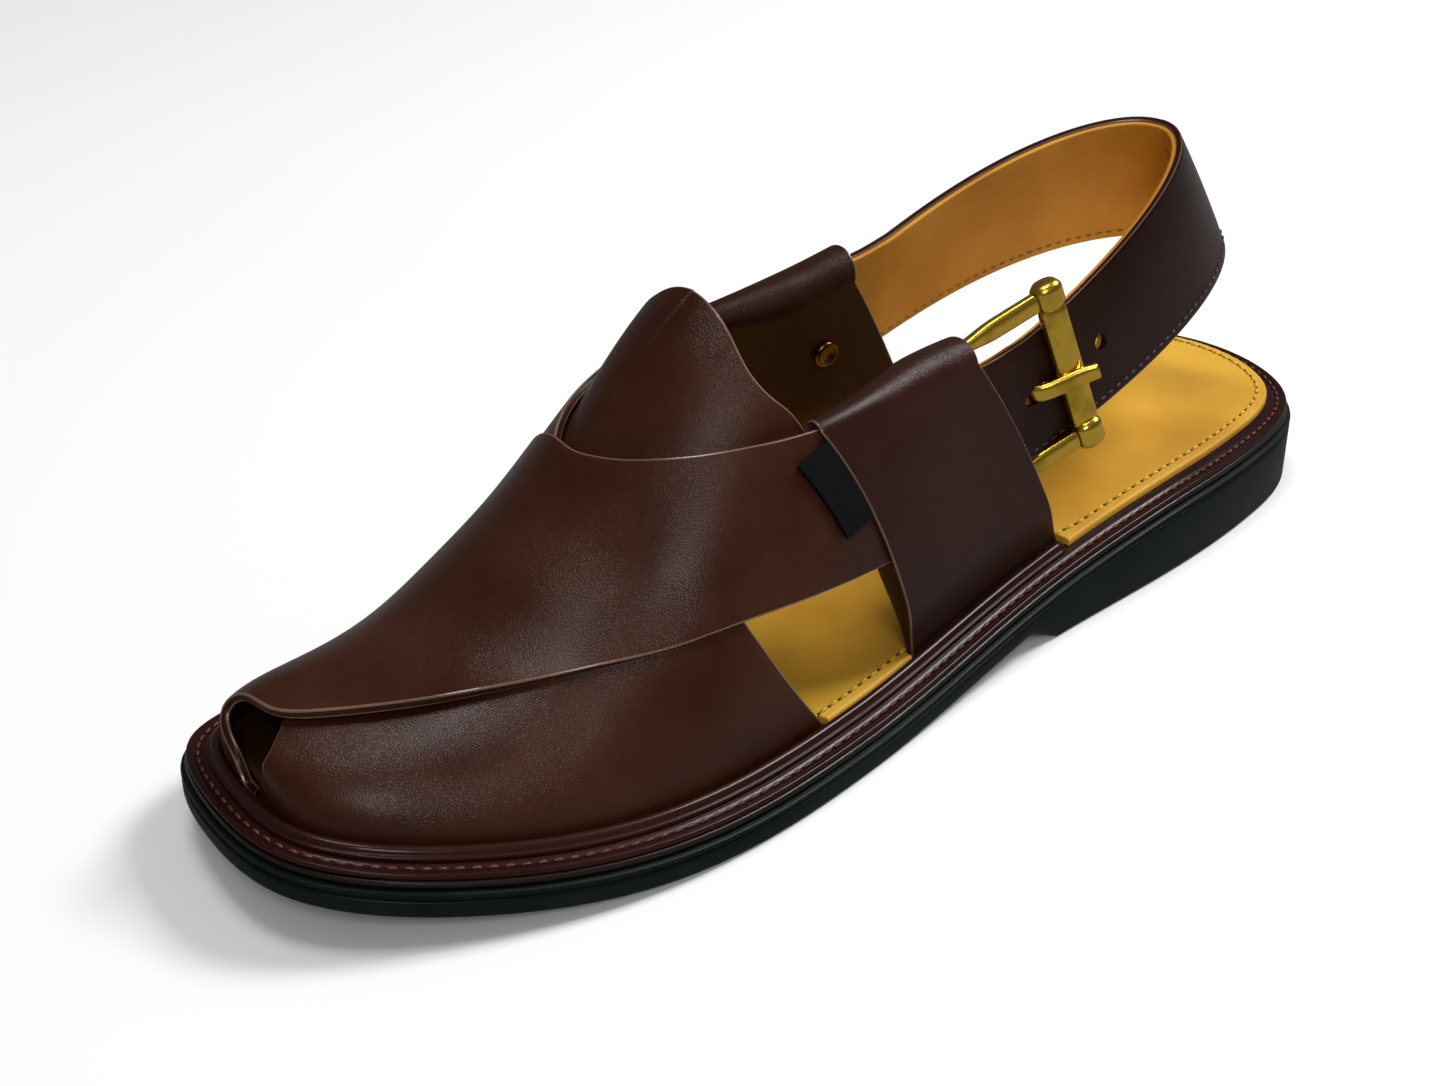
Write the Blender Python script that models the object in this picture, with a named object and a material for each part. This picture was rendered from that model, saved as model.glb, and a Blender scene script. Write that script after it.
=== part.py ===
"""Peshawari chappal, left shoe, as its maker puts it together.

Metres, +Y to the toe, +Z up, -X on the outer side of the foot. The origin is on the floor under
the middle of the sole. Tables hold shares of the named sizes above them.
"""

import functools
import math

import bmesh
import bpy
import numpy as np

# Sole, from the floor up
SOLE_LENGTH = 0.295
SOLE_WIDTH = 0.1005
HEEL_LIFT = 0.0109
TOE_SPRING = 0.0102
OUTSOLE_THICKNESS = 0.0056
OUTSOLE_EDGE_ROUND = 0.0006
LIP_HEIGHT = 0.0011
LIP_GROOVE_DEPTH = 0.0006
LIP_GROOVE_HEIGHT = 0.0007
MIDSOLE_THICKNESS = 0.0015
MIDSOLE_INSET = 0.0010
WELT_THICKNESS = 0.0012
WELT_INSET = 0.0014
WELT_WIDTH = 0.0120
WELT_EDGE_ROUND = 0.0003
RAND_INSET = 0.0052
RAND_WIDTH = 0.0032
RAND_HEIGHT = 0.0021
INSOLE_THICKNESS = 0.0016
INSOLE_EDGE_ROUND = 0.0004
HEEL_INSOLE_INSET = 0.0063
PIECE_GAP = 0.0003
FOOT_GAP = 0.0005

# Upper
UPPER_WALL = 0.0018
INSTEP_RISE = 0.0840
TOE_SETBACK = 0.0010
STRAP_BITE = 0.0009
QUARTER_WALL = 0.0016
QUARTER_PROUD = 0.0037
QUARTER_FRONT_DEPTH = 0.0020
INNER_QUARTER_SHIFT = 0.0060
TONGUE_WALL = 0.0018
TONGUE_SLOPE = 0.14

# Back strap and buckle
BACK_STRAP_WALL = 0.0026
BACK_STRAP_REACH = 0.0155
BACK_STRAP_WIDTH = 0.0250
HEEL_STRAP_RISE = 0.0335
QUARTER_STRAP_TOP = 0.0640
HEEL_STRAP_TOP = 0.0912
HEEL_STRAP_SETBACK = 0.0450
HEEL_STRAP_LEAN = 0.0175
HEEL_STRAP_FLARE = 0.0030
INNER_STRAP_RISE = 0.0070
STRAP_EASING = 0.10
STRAP_HOLE = 0.0036
PRONG_SLOT = 0.0090
STRAP_HOLE_SPACING = 0.0195
FRAME_WIRE = 0.0025
FRAME_CORNER = 0.0017
FRAME_LENGTH = 0.0242
ARM_SPACE = 0.0026
ROLLER_DIAMETER = 0.0054
ROLLER_SPACE = 0.0003
BUCKLE_SPACE = 0.0005
HINGE_SPACE = 0.0018
BUCKLE_REACH = 0.0130
BUCKLE_RISE = 0.0028
HINGE_DROP = 0.0010
PRONG_THICKNESS = 0.0023
PRONG_HOLE_REACH = 0.0165
PRONG_TIP = 0.0055

# Small pieces
RIVET_DIAMETER = 0.0062
RIVET_HEIGHT = 0.0009
TAB_WIDTH = 0.0080
TAB_THICKNESS = 0.0009

# How finely the forms are divided
SOLE_RUNGS = 34
STRAP_ROWS = 26
STRAP_COLUMNS = 10
QUARTER_ROWS = 6
QUARTER_SIDE_POINTS = 7
BACK_STRAP_ROWS = 40
WIRE_SIDES = 8

OUTER, INNER = 0, 1

# The sole's edge seen from above. Columns: across, a share of half the width with the outer side
# negative, and along, a share of the length from the heel.
OUTLINE = [
    (0.03, 0.000),
    (-0.47, 0.041),
    (-0.65, 0.122),
    (-0.74, 0.264),
    (-0.77, 0.396),
    (-0.885, 0.546),
    (-0.985, 0.672),
    (-0.97, 0.788),
    (-0.73, 0.909),
    (-0.27, 0.996),
    (0.18, 1.000),
    (0.59, 0.976),
    (0.84, 0.867),
    (0.99, 0.730),
    (0.95, 0.595),
    (0.78, 0.443),
    (0.70, 0.291),
    (0.735, 0.137),
    (0.565, 0.030),
]

# Where the sole changes along its length. Shares of the length from the heel.
HEEL_SEAT_END = 0.206
BALL_START = 0.596
TOE_SPRING_START = 0.681
BREAST_FOOT = 0.382
BREAST_TOP = 0.413
RAND_END = 0.352

# The ridge of the foot form over the instep. Columns: along, share of the length; rise, share of
# INSTEP_RISE above the welt; across, share of half the width; fullness of the inner flank, where 2
# is an ellipse and less is leaner.
RIDGE = [
    (0.000, 1.000, 0.08, 2.4),
    (0.325, 1.000, 0.08, 2.4),
    (0.511, 0.985, 0.09, 2.2),
    (0.593, 0.893, 0.12, 2.0),
    (0.647, 0.782, 0.14, 1.8),
    (0.698, 0.636, 0.14, 1.7),
    (0.725, 0.551, 0.14, 1.7),
    (0.779, 0.420, 0.14, 1.7),
    (0.833, 0.307, 0.14, 1.7),
    (0.888, 0.240, 0.15, 1.7),
    (0.950, 0.190, 0.17, 1.8),
    (1.000, 0.133, 0.175, 2.0),
]
OUTER_FULLNESS = 2.0

# The two edges of the strap that lies on top, from its foot on the inner side to its end in the
# outer quarter. Columns: along and turn of the front edge, along and turn of the rear edge. Turn is
# the share of the way from the outer side's foot over the ridge to the inner side's foot.
OVER_STRAP = [
    (0.9985, 1.000, 0.630, 1.000),
    (0.9970, 0.780, 0.668, 0.880),
    (0.9900, 0.560, 0.690, 0.690),
    (0.965, 0.415, 0.703, 0.540),
    (0.905, 0.353, 0.703, 0.470),
    (0.840, 0.312, 0.690, 0.405),
    (0.770, 0.243, 0.662, 0.340),
    (0.700, 0.182, 0.630, 0.298),
    (0.620, 0.132, 0.590, 0.266),
    (0.520, 0.100, 0.520, 0.232),
]

# The strap below it runs the other way. Columns as above, with turn from the inner side's foot.
UNDER_STRAP = [
    (0.9985, 1.000, 0.618, 1.000),
    (0.9985, 0.800, 0.662, 0.900),
    (0.9970, 0.640, 0.695, 0.740),
    (0.9750, 0.570, 0.709, 0.580),
    (0.9250, 0.470, 0.709, 0.480),
    (0.8500, 0.330, 0.696, 0.405),
    (0.770, 0.243, 0.662, 0.335),
    (0.700, 0.182, 0.630, 0.298),
    (0.600, 0.132, 0.575, 0.264),
    (0.495, 0.100, 0.495, 0.232),
]

# A folded quarter in outline. Along at its rear and front edge, at the foot and at the fold, and
# the turn at the fold from the rear edge to the front edge, for the outer and the inner quarter.
QUARTER_FOOT = (0.352, 0.518)
QUARTER_TOP = (0.436, 0.583)
QUARTER_FOLD = [
    [0.214, 0.227, 0.238, 0.248, 0.257],
    [0.219, 0.217, 0.221, 0.232, 0.250],
]
TUNNEL_FLOOR = 0.25

# How square the strap's bend round the heel is in plan: 2 is an ellipse.
HEEL_BEND = 2.15

# Where the rivet sits on the inner quarter, as length and height, and the turns of the tab's ends.
RIVET_PLACE = (0.30, 0.66)
TAB_TURN = (0.158, 0.248)

# The bell of the tongue. Columns: turn, and along of its free rear edge.
TONGUE_REAR = [
    (0.279, 0.5885),
    (0.290, 0.5920),
    (0.316, 0.600),
    (0.350, 0.606),
    (0.386, 0.605),
    (0.431, 0.600),
    (0.500, 0.596),
]
TONGUE_FRONT = 0.780


def remove_everything():
    for thing in list(bpy.data.objects):
        bpy.data.objects.remove(thing, do_unlink=True)


def finish(name, colour, roughness, metallic=0.0):
    """One Principled material."""
    material = bpy.data.materials.new(name)
    material.use_nodes = True
    shader = material.node_tree.nodes["Principled BSDF"]
    shader.inputs["Base Color"].default_value = (*colour, 1.0)
    shader.inputs["Roughness"].default_value = roughness
    shader.inputs["Metallic"].default_value = metallic
    return material


def ease(value):
    """0 below 0, 1 above 1, and a smooth step between."""
    value = np.clip(value, 0.0, 1.0)
    return value * value * (3.0 - 2.0 * value)


def smooth_through(knots, values, at):
    """Reads a smooth curve through the rows of values at the given places."""
    knots = np.asarray(knots, float)
    values = np.asarray(values, float)
    at = np.asarray(at, float)
    gaps = np.diff(knots)
    slopes = (np.diff(values, axis=0).T / gaps).T
    count = len(knots)
    system = np.eye(count)
    bends = np.zeros_like(values)
    for i in range(1, count - 1):
        system[i, i - 1 : i + 2] = gaps[i - 1], 2.0 * (gaps[i - 1] + gaps[i]), gaps[i]
        bends[i] = 6.0 * (slopes[i] - slopes[i - 1])
    bends = np.linalg.solve(system, bends)
    span = np.clip(np.searchsorted(knots, at) - 1, 0, count - 2)
    width = gaps[span]
    after = at - knots[span]
    before = knots[span + 1] - at
    if values.ndim > 1:
        width, after, before = width[:, None], after[:, None], before[:, None]
    bent = bends[span] * (before**3 / width - width * before) / 6.0
    bent += bends[span + 1] * (after**3 / width - width * after) / 6.0
    return bent + (values[span] * before + values[span + 1] * after) / width


@functools.lru_cache(maxsize=None)
def sole_sides():
    """The sole's edge in plan as two branches from the heel to the toe: points and outward normals."""
    size = np.array([SOLE_WIDTH / 2.0, SOLE_LENGTH])
    points = np.array(OUTLINE) * size
    wrap = 4
    chain = np.vstack([points[-wrap:], points, points[: wrap + 1]])
    steps = np.linalg.norm(np.diff(chain, axis=0), axis=1)
    walked = np.concatenate([[0.0], np.cumsum(steps)])
    at = np.linspace(walked[wrap], walked[wrap + len(points)], 1600, endpoint=False)
    curve = smooth_through(walked, chain, at)
    low, high = curve.min(axis=0), curve.max(axis=0)
    curve = ((curve - low) / (high - low) - 0.5) * (SOLE_WIDTH, SOLE_LENGTH)
    way = np.roll(curve, -1, axis=0) - np.roll(curve, 1, axis=0)
    normal = np.column_stack([-way[:, 1], way[:, 0]])
    normal /= np.linalg.norm(normal, axis=1)[:, None]
    heel = int(curve[:, 1].argmin())
    curve, normal = np.roll(curve, -heel, axis=0), np.roll(normal, -heel, axis=0)
    toe = int(curve[:, 1].argmax())
    outer = np.hstack([curve[: toe + 1], normal[: toe + 1]])
    inner = np.hstack([curve[toe:], normal[toe:]])
    inner = np.vstack([inner, outer[:1]])[::-1]
    return outer, inner


def sole_edge(side, station, inset):
    """Points in plan at the stations along Y on one side, moved inwards from the sole's edge."""
    branch = sole_sides()[side]
    x, y, across, forward = (np.interp(station, branch[:, 1], branch[:, i]) for i in range(4))
    length = np.hypot(across, forward)
    return np.column_stack([x - inset * across / length, y - inset * forward / length])


def along_of(y):
    return np.asarray(y) / SOLE_LENGTH + 0.5


def station_of(along):
    return (np.asarray(along) - 0.5) * SOLE_LENGTH


def shank(y):
    """Height of the sole's underside, without the heel block."""
    along = along_of(y)
    heel = HEEL_LIFT * (1.0 - ease((along - HEEL_SEAT_END) / (BALL_START - HEEL_SEAT_END)))
    toe = np.clip((along - TOE_SPRING_START) / (1.0 - TOE_SPRING_START), 0.0, None)
    return heel + TOE_SPRING * toe**2


def tread(y):
    """Height of the outsole's lowest face: flat under the heel block, then up its slanted breast."""
    share = np.clip((along_of(y) - BREAST_FOOT) / (BREAST_TOP - BREAST_FOOT), 0.0, 1.0)
    return shank(y) * share


def outsole_top(y):
    return shank(y) + OUTSOLE_THICKNESS


def midsole_floor(y):
    return outsole_top(y) + PIECE_GAP


def midsole_top(y):
    return midsole_floor(y) + MIDSOLE_THICKNESS


def welt_floor(y):
    return midsole_top(y) + PIECE_GAP


def welt_top(y):
    return welt_floor(y) + WELT_THICKNESS


def foot_level(y):
    """Where the straps' feet, the rand and the insole stand."""
    return welt_top(y) + PIECE_GAP


def above(level, rise):
    """The height function that runs this far above another."""
    return lambda y: level(y) + rise


def sole_stations(extra=()):
    """Stations from the heel's back to the toe's front, close together at both ends."""
    turns = np.linspace(0.0, math.pi, SOLE_RUNGS + 1)
    regular = 0.5 - 0.5 * np.cos(turns)
    extra = np.array([BREAST_FOOT, BREAST_TOP, RAND_END, *extra])
    near = np.abs(regular[:, None] - extra[None, :]).min(axis=1) < 0.008
    return station_of(np.sort(np.concatenate([regular[~near], extra])))


def ring(stations, inset, height):
    """A loop of points round the sole: the outer side from heel to toe, then the inner side back."""
    insets = inset if isinstance(inset, tuple) else (inset, inset)
    outer = sole_edge(OUTER, stations, insets[OUTER])
    inner = sole_edge(INNER, stations, insets[INNER])[1:-1][::-1]
    plan = np.vstack([outer, inner])
    return np.column_stack([plan, height(plan[:, 1])])


def solid(name, points, faces, material, crease=math.radians(38)):
    """A closed mesh object with its faces turned outwards."""
    mesh = bpy.data.meshes.new(name)
    mesh.from_pydata([tuple(map(float, point)) for point in points], [], faces)
    shape = bmesh.new()
    shape.from_mesh(mesh)
    bmesh.ops.recalc_face_normals(shape, faces=shape.faces[:])
    shape.to_mesh(mesh)
    shape.free()
    mesh.shade_smooth()
    mesh.set_sharp_from_angle(angle=crease)
    mesh.materials.append(material)
    thing = bpy.data.objects.new(name, mesh)
    bpy.context.scene.collection.objects.link(thing)
    return thing


def loop_faces(rows, count, wrap=False):
    """Quads between neighbouring rows of one closed loop each."""
    faces = []
    for row in range(rows if wrap else rows - 1):
        here, there = row * count, (row + 1) % rows * count
        for i in range(count):
            after = (i + 1) % count
            faces.append((here + i, here + after, there + after, there + i))
    return faces


def rung_faces(start, rungs, count):
    """Faces across a loop of the sole, between the same rungs of its two sides."""
    faces = []
    for rung in range(rungs):
        corners = [rung, rung + 1, count - rung - 1, (count - rung) % count]
        faces.append(tuple(start + i for i in dict.fromkeys(corners)))
    return faces


def plate(name, stations, levels, material):
    """A layer of the sole, lofted through loops given as inset and height."""
    loops = [ring(stations, inset, height) for inset, height in levels]
    count, rungs = len(loops[0]), len(stations) - 1
    faces = loop_faces(len(loops), count)
    faces += rung_faces(0, rungs, count) + rung_faces((len(loops) - 1) * count, rungs, count)
    return solid(name, np.vstack(loops), faces, material)


def build_outsole():
    rubber = finish("outsole_rubber", (0.012, 0.014, 0.016), 0.42)
    groove = LIP_HEIGHT + LIP_GROOVE_HEIGHT
    levels = [
        (OUTSOLE_EDGE_ROUND, tread),
        (0.0, above(tread, OUTSOLE_EDGE_ROUND)),
        (0.0, above(outsole_top, -groove - LIP_GROOVE_DEPTH)),
        (LIP_GROOVE_DEPTH, above(outsole_top, -groove)),
        (LIP_GROOVE_DEPTH, above(outsole_top, -LIP_HEIGHT)),
        (0.0, above(outsole_top, LIP_GROOVE_DEPTH - LIP_HEIGHT)),
        (LIP_GROOVE_DEPTH, outsole_top),
    ]
    return plate("outsole", sole_stations(), levels, rubber)


def build_midsole():
    board = finish("midsole_board", (0.035, 0.016, 0.012), 0.5)
    levels = [(MIDSOLE_INSET, midsole_floor), (MIDSOLE_INSET, midsole_top)]
    return plate("midsole", sole_stations(), levels, board)


def build_welt():
    """The flat strip that the stitches go through, all the way round."""
    leather = finish("welt_leather", (0.030, 0.010, 0.008), 0.35)
    inner = WELT_INSET + WELT_WIDTH
    profile = [
        (WELT_INSET, welt_floor),
        (WELT_INSET, above(welt_top, -WELT_EDGE_ROUND)),
        (WELT_INSET + WELT_EDGE_ROUND, welt_top),
        (inner, welt_top),
        (inner, welt_floor),
    ]
    loops = [ring(sole_stations(), inset, height) for inset, height in profile]
    faces = loop_faces(len(loops), len(loops[0]), wrap=True)
    return solid("welt", np.vstack(loops), faces, leather)


def build_rand():
    """The rounded bead on the welt, from the rear of one quarter round the toe to the other."""
    leather = finish("rand_leather", (0.030, 0.010, 0.008), 0.25)
    stations = sole_stations()
    first = int(np.abs(stations - station_of(RAND_END)).argmin())
    profile = [
        (0.00, 0.00),
        (0.00, 0.45),
        (0.14, 0.82),
        (0.38, 1.00),
        (0.66, 1.00),
        (0.90, 0.78),
        (1.00, 0.40),
        (1.00, 0.00),
    ]
    loops = []
    for across, up in profile:
        level = above(foot_level, RAND_HEIGHT * up)
        loop = ring(stations, RAND_INSET + RAND_WIDTH * across, level)
        loops.append(loop[first : len(loop) - first + 1])
    loops = np.array(loops).transpose(1, 0, 2)
    count = len(profile)
    faces = loop_faces(len(loops), count)
    faces.append(tuple(range(count)))
    faces.append(tuple(range((len(loops) - 1) * count, len(loops) * count)))
    return solid("rand", loops.reshape(-1, 3), faces, leather)


def insole_inset(stations, feet):
    """How far the insole keeps from the sole's edge: further in where a strap's foot passes it."""
    along = along_of(stations)
    open_inset = RAND_INSET + RAND_WIDTH + PIECE_GAP
    inset = np.where(along < RAND_END, HEEL_INSOLE_INSET, open_inset)
    for start, end in feet:
        inset = np.where((along >= start) & (along <= end), foot_inset() + FOOT_GAP, inset)
    return inset


def foot_inset():
    """Inset of the foot form's base, which the inner faces of the straps' feet touch."""
    return RAND_INSET + RAND_WIDTH + FOOT_GAP + UPPER_WALL


def strap_feet():
    """Where straps and quarters stand on the welt, along each side, with a little room."""
    room = PIECE_GAP / SOLE_LENGTH
    shift = INNER_QUARTER_SHIFT / SOLE_LENGTH
    rear, front = QUARTER_FOOT
    outer = [(rear - room, front + room), (UNDER_STRAP[0][2] - room, 1.0)]
    inner = [(rear - shift - room, front - shift + room), (OVER_STRAP[0][2] - room, 1.0)]
    return outer, inner


def build_insole():
    leather = finish("insole_leather", (0.52, 0.30, 0.07), 0.55)
    feet = strap_feet()
    corners = []
    for start, end in feet[OUTER] + feet[INNER]:
        corners += [start - 0.001, start, end, end + 0.001]
    corners = [corner for corner in corners if corner < 0.999]
    stations = sole_stations(corners)
    edge = tuple(insole_inset(stations, feet[side]) for side in (OUTER, INNER))
    top_edge = tuple(inset + INSOLE_EDGE_ROUND for inset in edge)
    levels = [
        (edge, foot_level),
        (edge, above(foot_level, INSOLE_THICKNESS - INSOLE_EDGE_ROUND)),
        (top_edge, above(foot_level, INSOLE_THICKNESS)),
    ]
    return plate("insole", stations, levels, leather)


def rung_of(along):
    """Place on the rungs, which are evenly spaced in angle, so that the toe is well divided."""
    return np.arccos(1.0 - 2.0 * np.clip(np.asarray(along, float), 0.0, 1.0)) / math.pi


def last_point(rung, turn):
    """A point of the foot form: rung goes from heel to toe, turn from the outer to the inner side."""
    along = 0.5 - 0.5 * np.cos(math.pi * rung)
    station = station_of(along)
    bases = [sole_edge(side, station, foot_inset()) for side in (OUTER, INNER)]
    base = np.where(turn[:, None] < 0.5, bases[OUTER], bases[INNER])
    rows = np.array(RIDGE)
    rise, across, inner_fullness = smooth_through(rows[:, 0], rows[:, 1:], along).T
    middle = (bases[OUTER][:, 1] + bases[INNER][:, 1]) / 2.0
    ridge = np.column_stack([across * SOLE_WIDTH / 2.0, middle - TOE_SETBACK * along**8])
    bend = 2.0 / np.where(turn < 0.5, OUTER_FULLNESS, inner_fullness)
    spread = np.abs(np.cos(math.pi * turn)) ** bend
    height = np.abs(np.sin(math.pi * turn)) ** bend
    plan = ridge + (base - ridge) * spread[:, None]
    low = foot_level(base[:, 1])
    top = foot_level(ridge[:, 1]) + INSTEP_RISE * rise
    return np.column_stack([plan, low + (top - low) * height])


def last_frame(rung, turn):
    """Points of the foot form, their outward normals, and the way up towards the ridge."""
    step = 0.002
    rung, turn = np.broadcast_arrays(np.asarray(rung, float), np.asarray(turn, float))
    shape = rung.shape
    rung, turn = rung.ravel(), turn.ravel()
    near, far = np.clip(rung - step, 0.0, 1.0), np.clip(rung + step, 0.0, 1.0)
    half = np.where(turn < 0.5, 0.0, 0.5)
    low = np.clip(turn - step, half, half + 0.4999)
    high = np.clip(turn + step, half, half + 0.5)
    forward = last_point(far, turn) - last_point(near, turn)
    over = last_point(rung, high) - last_point(rung, low)
    normal = np.cross(over, forward)
    normal /= np.linalg.norm(normal, axis=1)[:, None]
    upward = over * np.where(turn < 0.5, 1.0, -1.0)[:, None]
    upward /= np.linalg.norm(upward, axis=1)[:, None]
    return tuple(part.reshape(*shape, 3) for part in (last_point(rung, turn), normal, upward))


def slab(name, outer, inner, material):
    """A sheet with its thickness, between two grids of points of the same shape."""
    rows, columns = outer.shape[:2]
    size = rows * columns

    def at(row, column, layer):
        return layer * size + row * columns + column

    faces = []
    for layer in (0, 1):
        for row in range(rows - 1):
            for column in range(columns - 1):
                corners = [(row, column), (row, column + 1), (row + 1, column + 1), (row + 1, column)]
                faces.append(tuple(at(*corner, layer) for corner in corners))
    rim = [(0, column) for column in range(columns - 1)]
    rim += [(row, columns - 1) for row in range(rows - 1)]
    rim += [(rows - 1, column) for column in range(columns - 1, 0, -1)]
    rim += [(row, 0) for row in range(rows - 1, 0, -1)]
    for here, there in zip(rim, rim[1:] + rim[:1]):
        faces.append((at(*here, 0), at(*there, 0), at(*there, 1), at(*here, 1)))
    return solid(name, np.vstack([outer.reshape(-1, 3), inner.reshape(-1, 3)]), faces, material)


def sheet_on_last(name, rung, turn, offset, wall, material):
    """A sheet that follows the foot form, with its inner face at the given offset."""
    point, normal, _ = last_frame(rung, turn)
    inner = point + normal * offset[..., None]
    outer = inner + normal * wall
    for face in (inner, outer):
        face[..., 2] = np.maximum(face[..., 2], foot_level(face[..., 1]))
    return slab(name, outer, inner, material)


def strap_grid(table):
    """Rung and turn over a strap, with the front edge in the first column."""
    rows = np.array(table)
    knots = np.arange(len(rows))
    at = np.linspace(0, len(rows) - 1, STRAP_ROWS)
    edges = smooth_through(knots, np.column_stack([rung_of(rows[:, 0]), rows[:, 1],
                                                   rung_of(rows[:, 2]), rows[:, 3]]), at)
    share = np.linspace(0.0, 1.0, STRAP_COLUMNS)[None, :]
    rung = edges[:, 0:1] * (1.0 - share) + edges[:, 2:3] * share
    turn = edges[:, 1:2] * (1.0 - share) + edges[:, 3:4] * share
    return np.clip(rung, 0.0, 1.0), np.clip(turn, 0.0, 1.0)


def build_over_strap(material):
    """The strap on top: its inner face bites a little into the one below."""
    rung, turn = strap_grid(OVER_STRAP)
    foot = ease((1.0 - turn) / 0.10)
    return sheet_on_last("over_strap", rung, turn, STRAP_BITE * foot, UPPER_WALL, material)


def build_under_strap(material):
    rung, turn = strap_grid(UNDER_STRAP)
    end = ease((rung_of(0.62) - rung) / 0.06)
    return sheet_on_last("under_strap", rung, 1.0 - turn, STRAP_BITE * end, UPPER_WALL, material)


def quarter_shift(side):
    return -INNER_QUARTER_SHIFT / SOLE_LENGTH if side == INNER else 0.0


def quarter_place(side, length, height):
    """Rung and turn on a quarter: length from its rear to its front edge, height up to its fold."""
    rear = QUARTER_FOOT[0] + (QUARTER_TOP[0] - QUARTER_FOOT[0]) * height
    front = QUARTER_FOOT[1] + (QUARTER_TOP[1] - QUARTER_FOOT[1]) * height
    along = rear + (front - rear) * length + quarter_shift(side)
    knots = np.linspace(0.0, 1.0, len(QUARTER_FOLD[side]))
    turn = height * np.interp(length, knots, QUARTER_FOLD[side])
    return rung_of(along), turn if side == OUTER else 1.0 - turn


def tunnel_depth():
    """Room in the fold at its rear for the buckle's bar, the back strap and gaps beside them."""
    return FRAME_WIRE + HINGE_SPACE + BACK_STRAP_WALL + 2.0 * BUCKLE_SPACE


def quarter_faces(length, height):
    """Offsets of the quarter's outer and inner face from the foot form."""
    outer = UPPER_WALL + (QUARTER_PROUD - UPPER_WALL) * ease(height / 0.25)
    rear = tunnel_depth() + 2.0 * QUARTER_WALL - QUARTER_PROUD
    depth = rear + (QUARTER_FRONT_DEPTH - rear) * ease((length - 0.3) / 0.7)
    return outer, -depth * ease((height - 0.05) / 0.35)


def quarter_loop(side, length, wall):
    """A closed loop round the fold at one length: up the outer face, over, down the inner face."""
    floor = TUNNEL_FLOOR if wall else 0.0
    heights = floor + (1.0 - floor) * np.linspace(0.0, 1.0, QUARTER_SIDE_POINTS)
    rung, turn = quarter_place(side, length, heights)
    point, normal, upward = last_frame(rung, turn)
    outer, inner = quarter_faces(length, heights)
    outside = point + normal * (outer - wall)[:, None]
    inside = point + normal * (inner + wall)[:, None]
    middle = (outside[-1] + inside[-1]) / 2.0
    radius = np.linalg.norm(outside[-1] - inside[-1]) / 2.0
    bend = []
    for angle in np.linspace(0.0, math.pi, 7)[1:-1]:
        bend.append(middle + radius * (math.cos(angle) * normal[-1] + math.sin(angle) * upward[-1]))
    return np.vstack([outside, bend, inside[::-1]])


def build_quarter(name, side, material):
    """A quarter: a band folded over at its top, with a flat tunnel through it."""
    lengths = np.linspace(0.0, 1.0, QUARTER_ROWS)
    shells = [[quarter_loop(side, length, wall) for length in lengths] for wall in (0.0, QUARTER_WALL)]
    count = len(shells[0][0])
    size = QUARTER_ROWS * count
    faces = loop_faces(QUARTER_ROWS, count)
    faces += [tuple(size + i for i in face) for face in loop_faces(QUARTER_ROWS, count)]
    for start in (0, (QUARTER_ROWS - 1) * count):
        for i in range(count):
            here, after = start + i, start + (i + 1) % count
            faces.append((here, after, size + after, size + here))
    points = np.vstack([loop for shell in shells for loop in shell])
    return solid(name, points, faces, material)


def join(base, others):
    """Unites the others into the base and removes them."""
    for other in others:
        modifier = base.modifiers.new("join_" + other.name, "BOOLEAN")
        modifier.operation = "UNION"
        modifier.solver = "EXACT"
        modifier.object = other
        other.hide_render = True
        other.display_type = "WIRE"


def build_upper():
    """Both straps and both quarters, joined where they cross."""
    leather = finish("upper_leather", (0.055, 0.020, 0.014), 0.38)
    upper = build_under_strap(leather)
    upper.name = "upper"
    join(upper, [
        build_over_strap(leather),
        build_quarter("outer_quarter", OUTER, leather),
        build_quarter("inner_quarter", INNER, leather),
    ])
    return upper


def throat_along(turn):
    """Where the straps' rear edges cross the given turn."""
    outer = np.array(OVER_STRAP)[:2:-1]
    inner = np.array(UNDER_STRAP)[:2:-1]
    outer = np.interp(turn, outer[:, 3], outer[:, 2])
    return np.where(turn < 0.5, outer, np.interp(1.0 - turn, inner[:, 3], inner[:, 2]))


def build_tongue():
    """The bell-shaped tongue: it lies under the straps and rises behind them."""
    leather = finish("tongue_leather", (0.055, 0.020, 0.014), 0.38)
    rows = np.array(TONGUE_REAR)
    half = np.linspace(rows[0, 0], 0.5, 9)
    rear = smooth_through(rows[:, 0], rows[:, 1], half)
    turn = np.concatenate([half, 1.0 - half[-2::-1]])[:, None]
    rear = np.concatenate([rear, rear[-2::-1]])[:, None]
    share = np.linspace(0.0, 1.0, 11)[None, :]
    along = rear + (TONGUE_FRONT - rear) * share
    behind = np.clip(throat_along(turn) - along, 0.0, None) * SOLE_LENGTH
    offset = TONGUE_SLOPE * behind - FOOT_GAP - TONGUE_WALL
    turn = np.broadcast_to(turn, along.shape)
    return sheet_on_last("tongue", rung_of(along), turn, offset, TONGUE_WALL, leather)


def last_turn(side, along, height):
    """The turn at which the foot form reaches a height above the floor, on one side."""
    station = station_of(along)
    low = foot_level(station)
    rows = np.array(RIDGE)
    rise, _, inner_fullness = smooth_through(rows[:, 0], rows[:, 1:], along).T
    bend = 2.0 / (OUTER_FULLNESS if side == OUTER else inner_fullness)
    share = np.clip((height - low) / (INSTEP_RISE * rise), 0.0, 1.0) ** (1.0 / bend)
    turn = np.arcsin(share) / math.pi
    return turn if side == OUTER else 1.0 - turn


def strap_depth():
    """Offset of the back strap's middle from the foot form, inside the quarters' tunnels."""
    return QUARTER_PROUD - QUARTER_WALL - BUCKLE_SPACE - BACK_STRAP_WALL / 2.0


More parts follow.
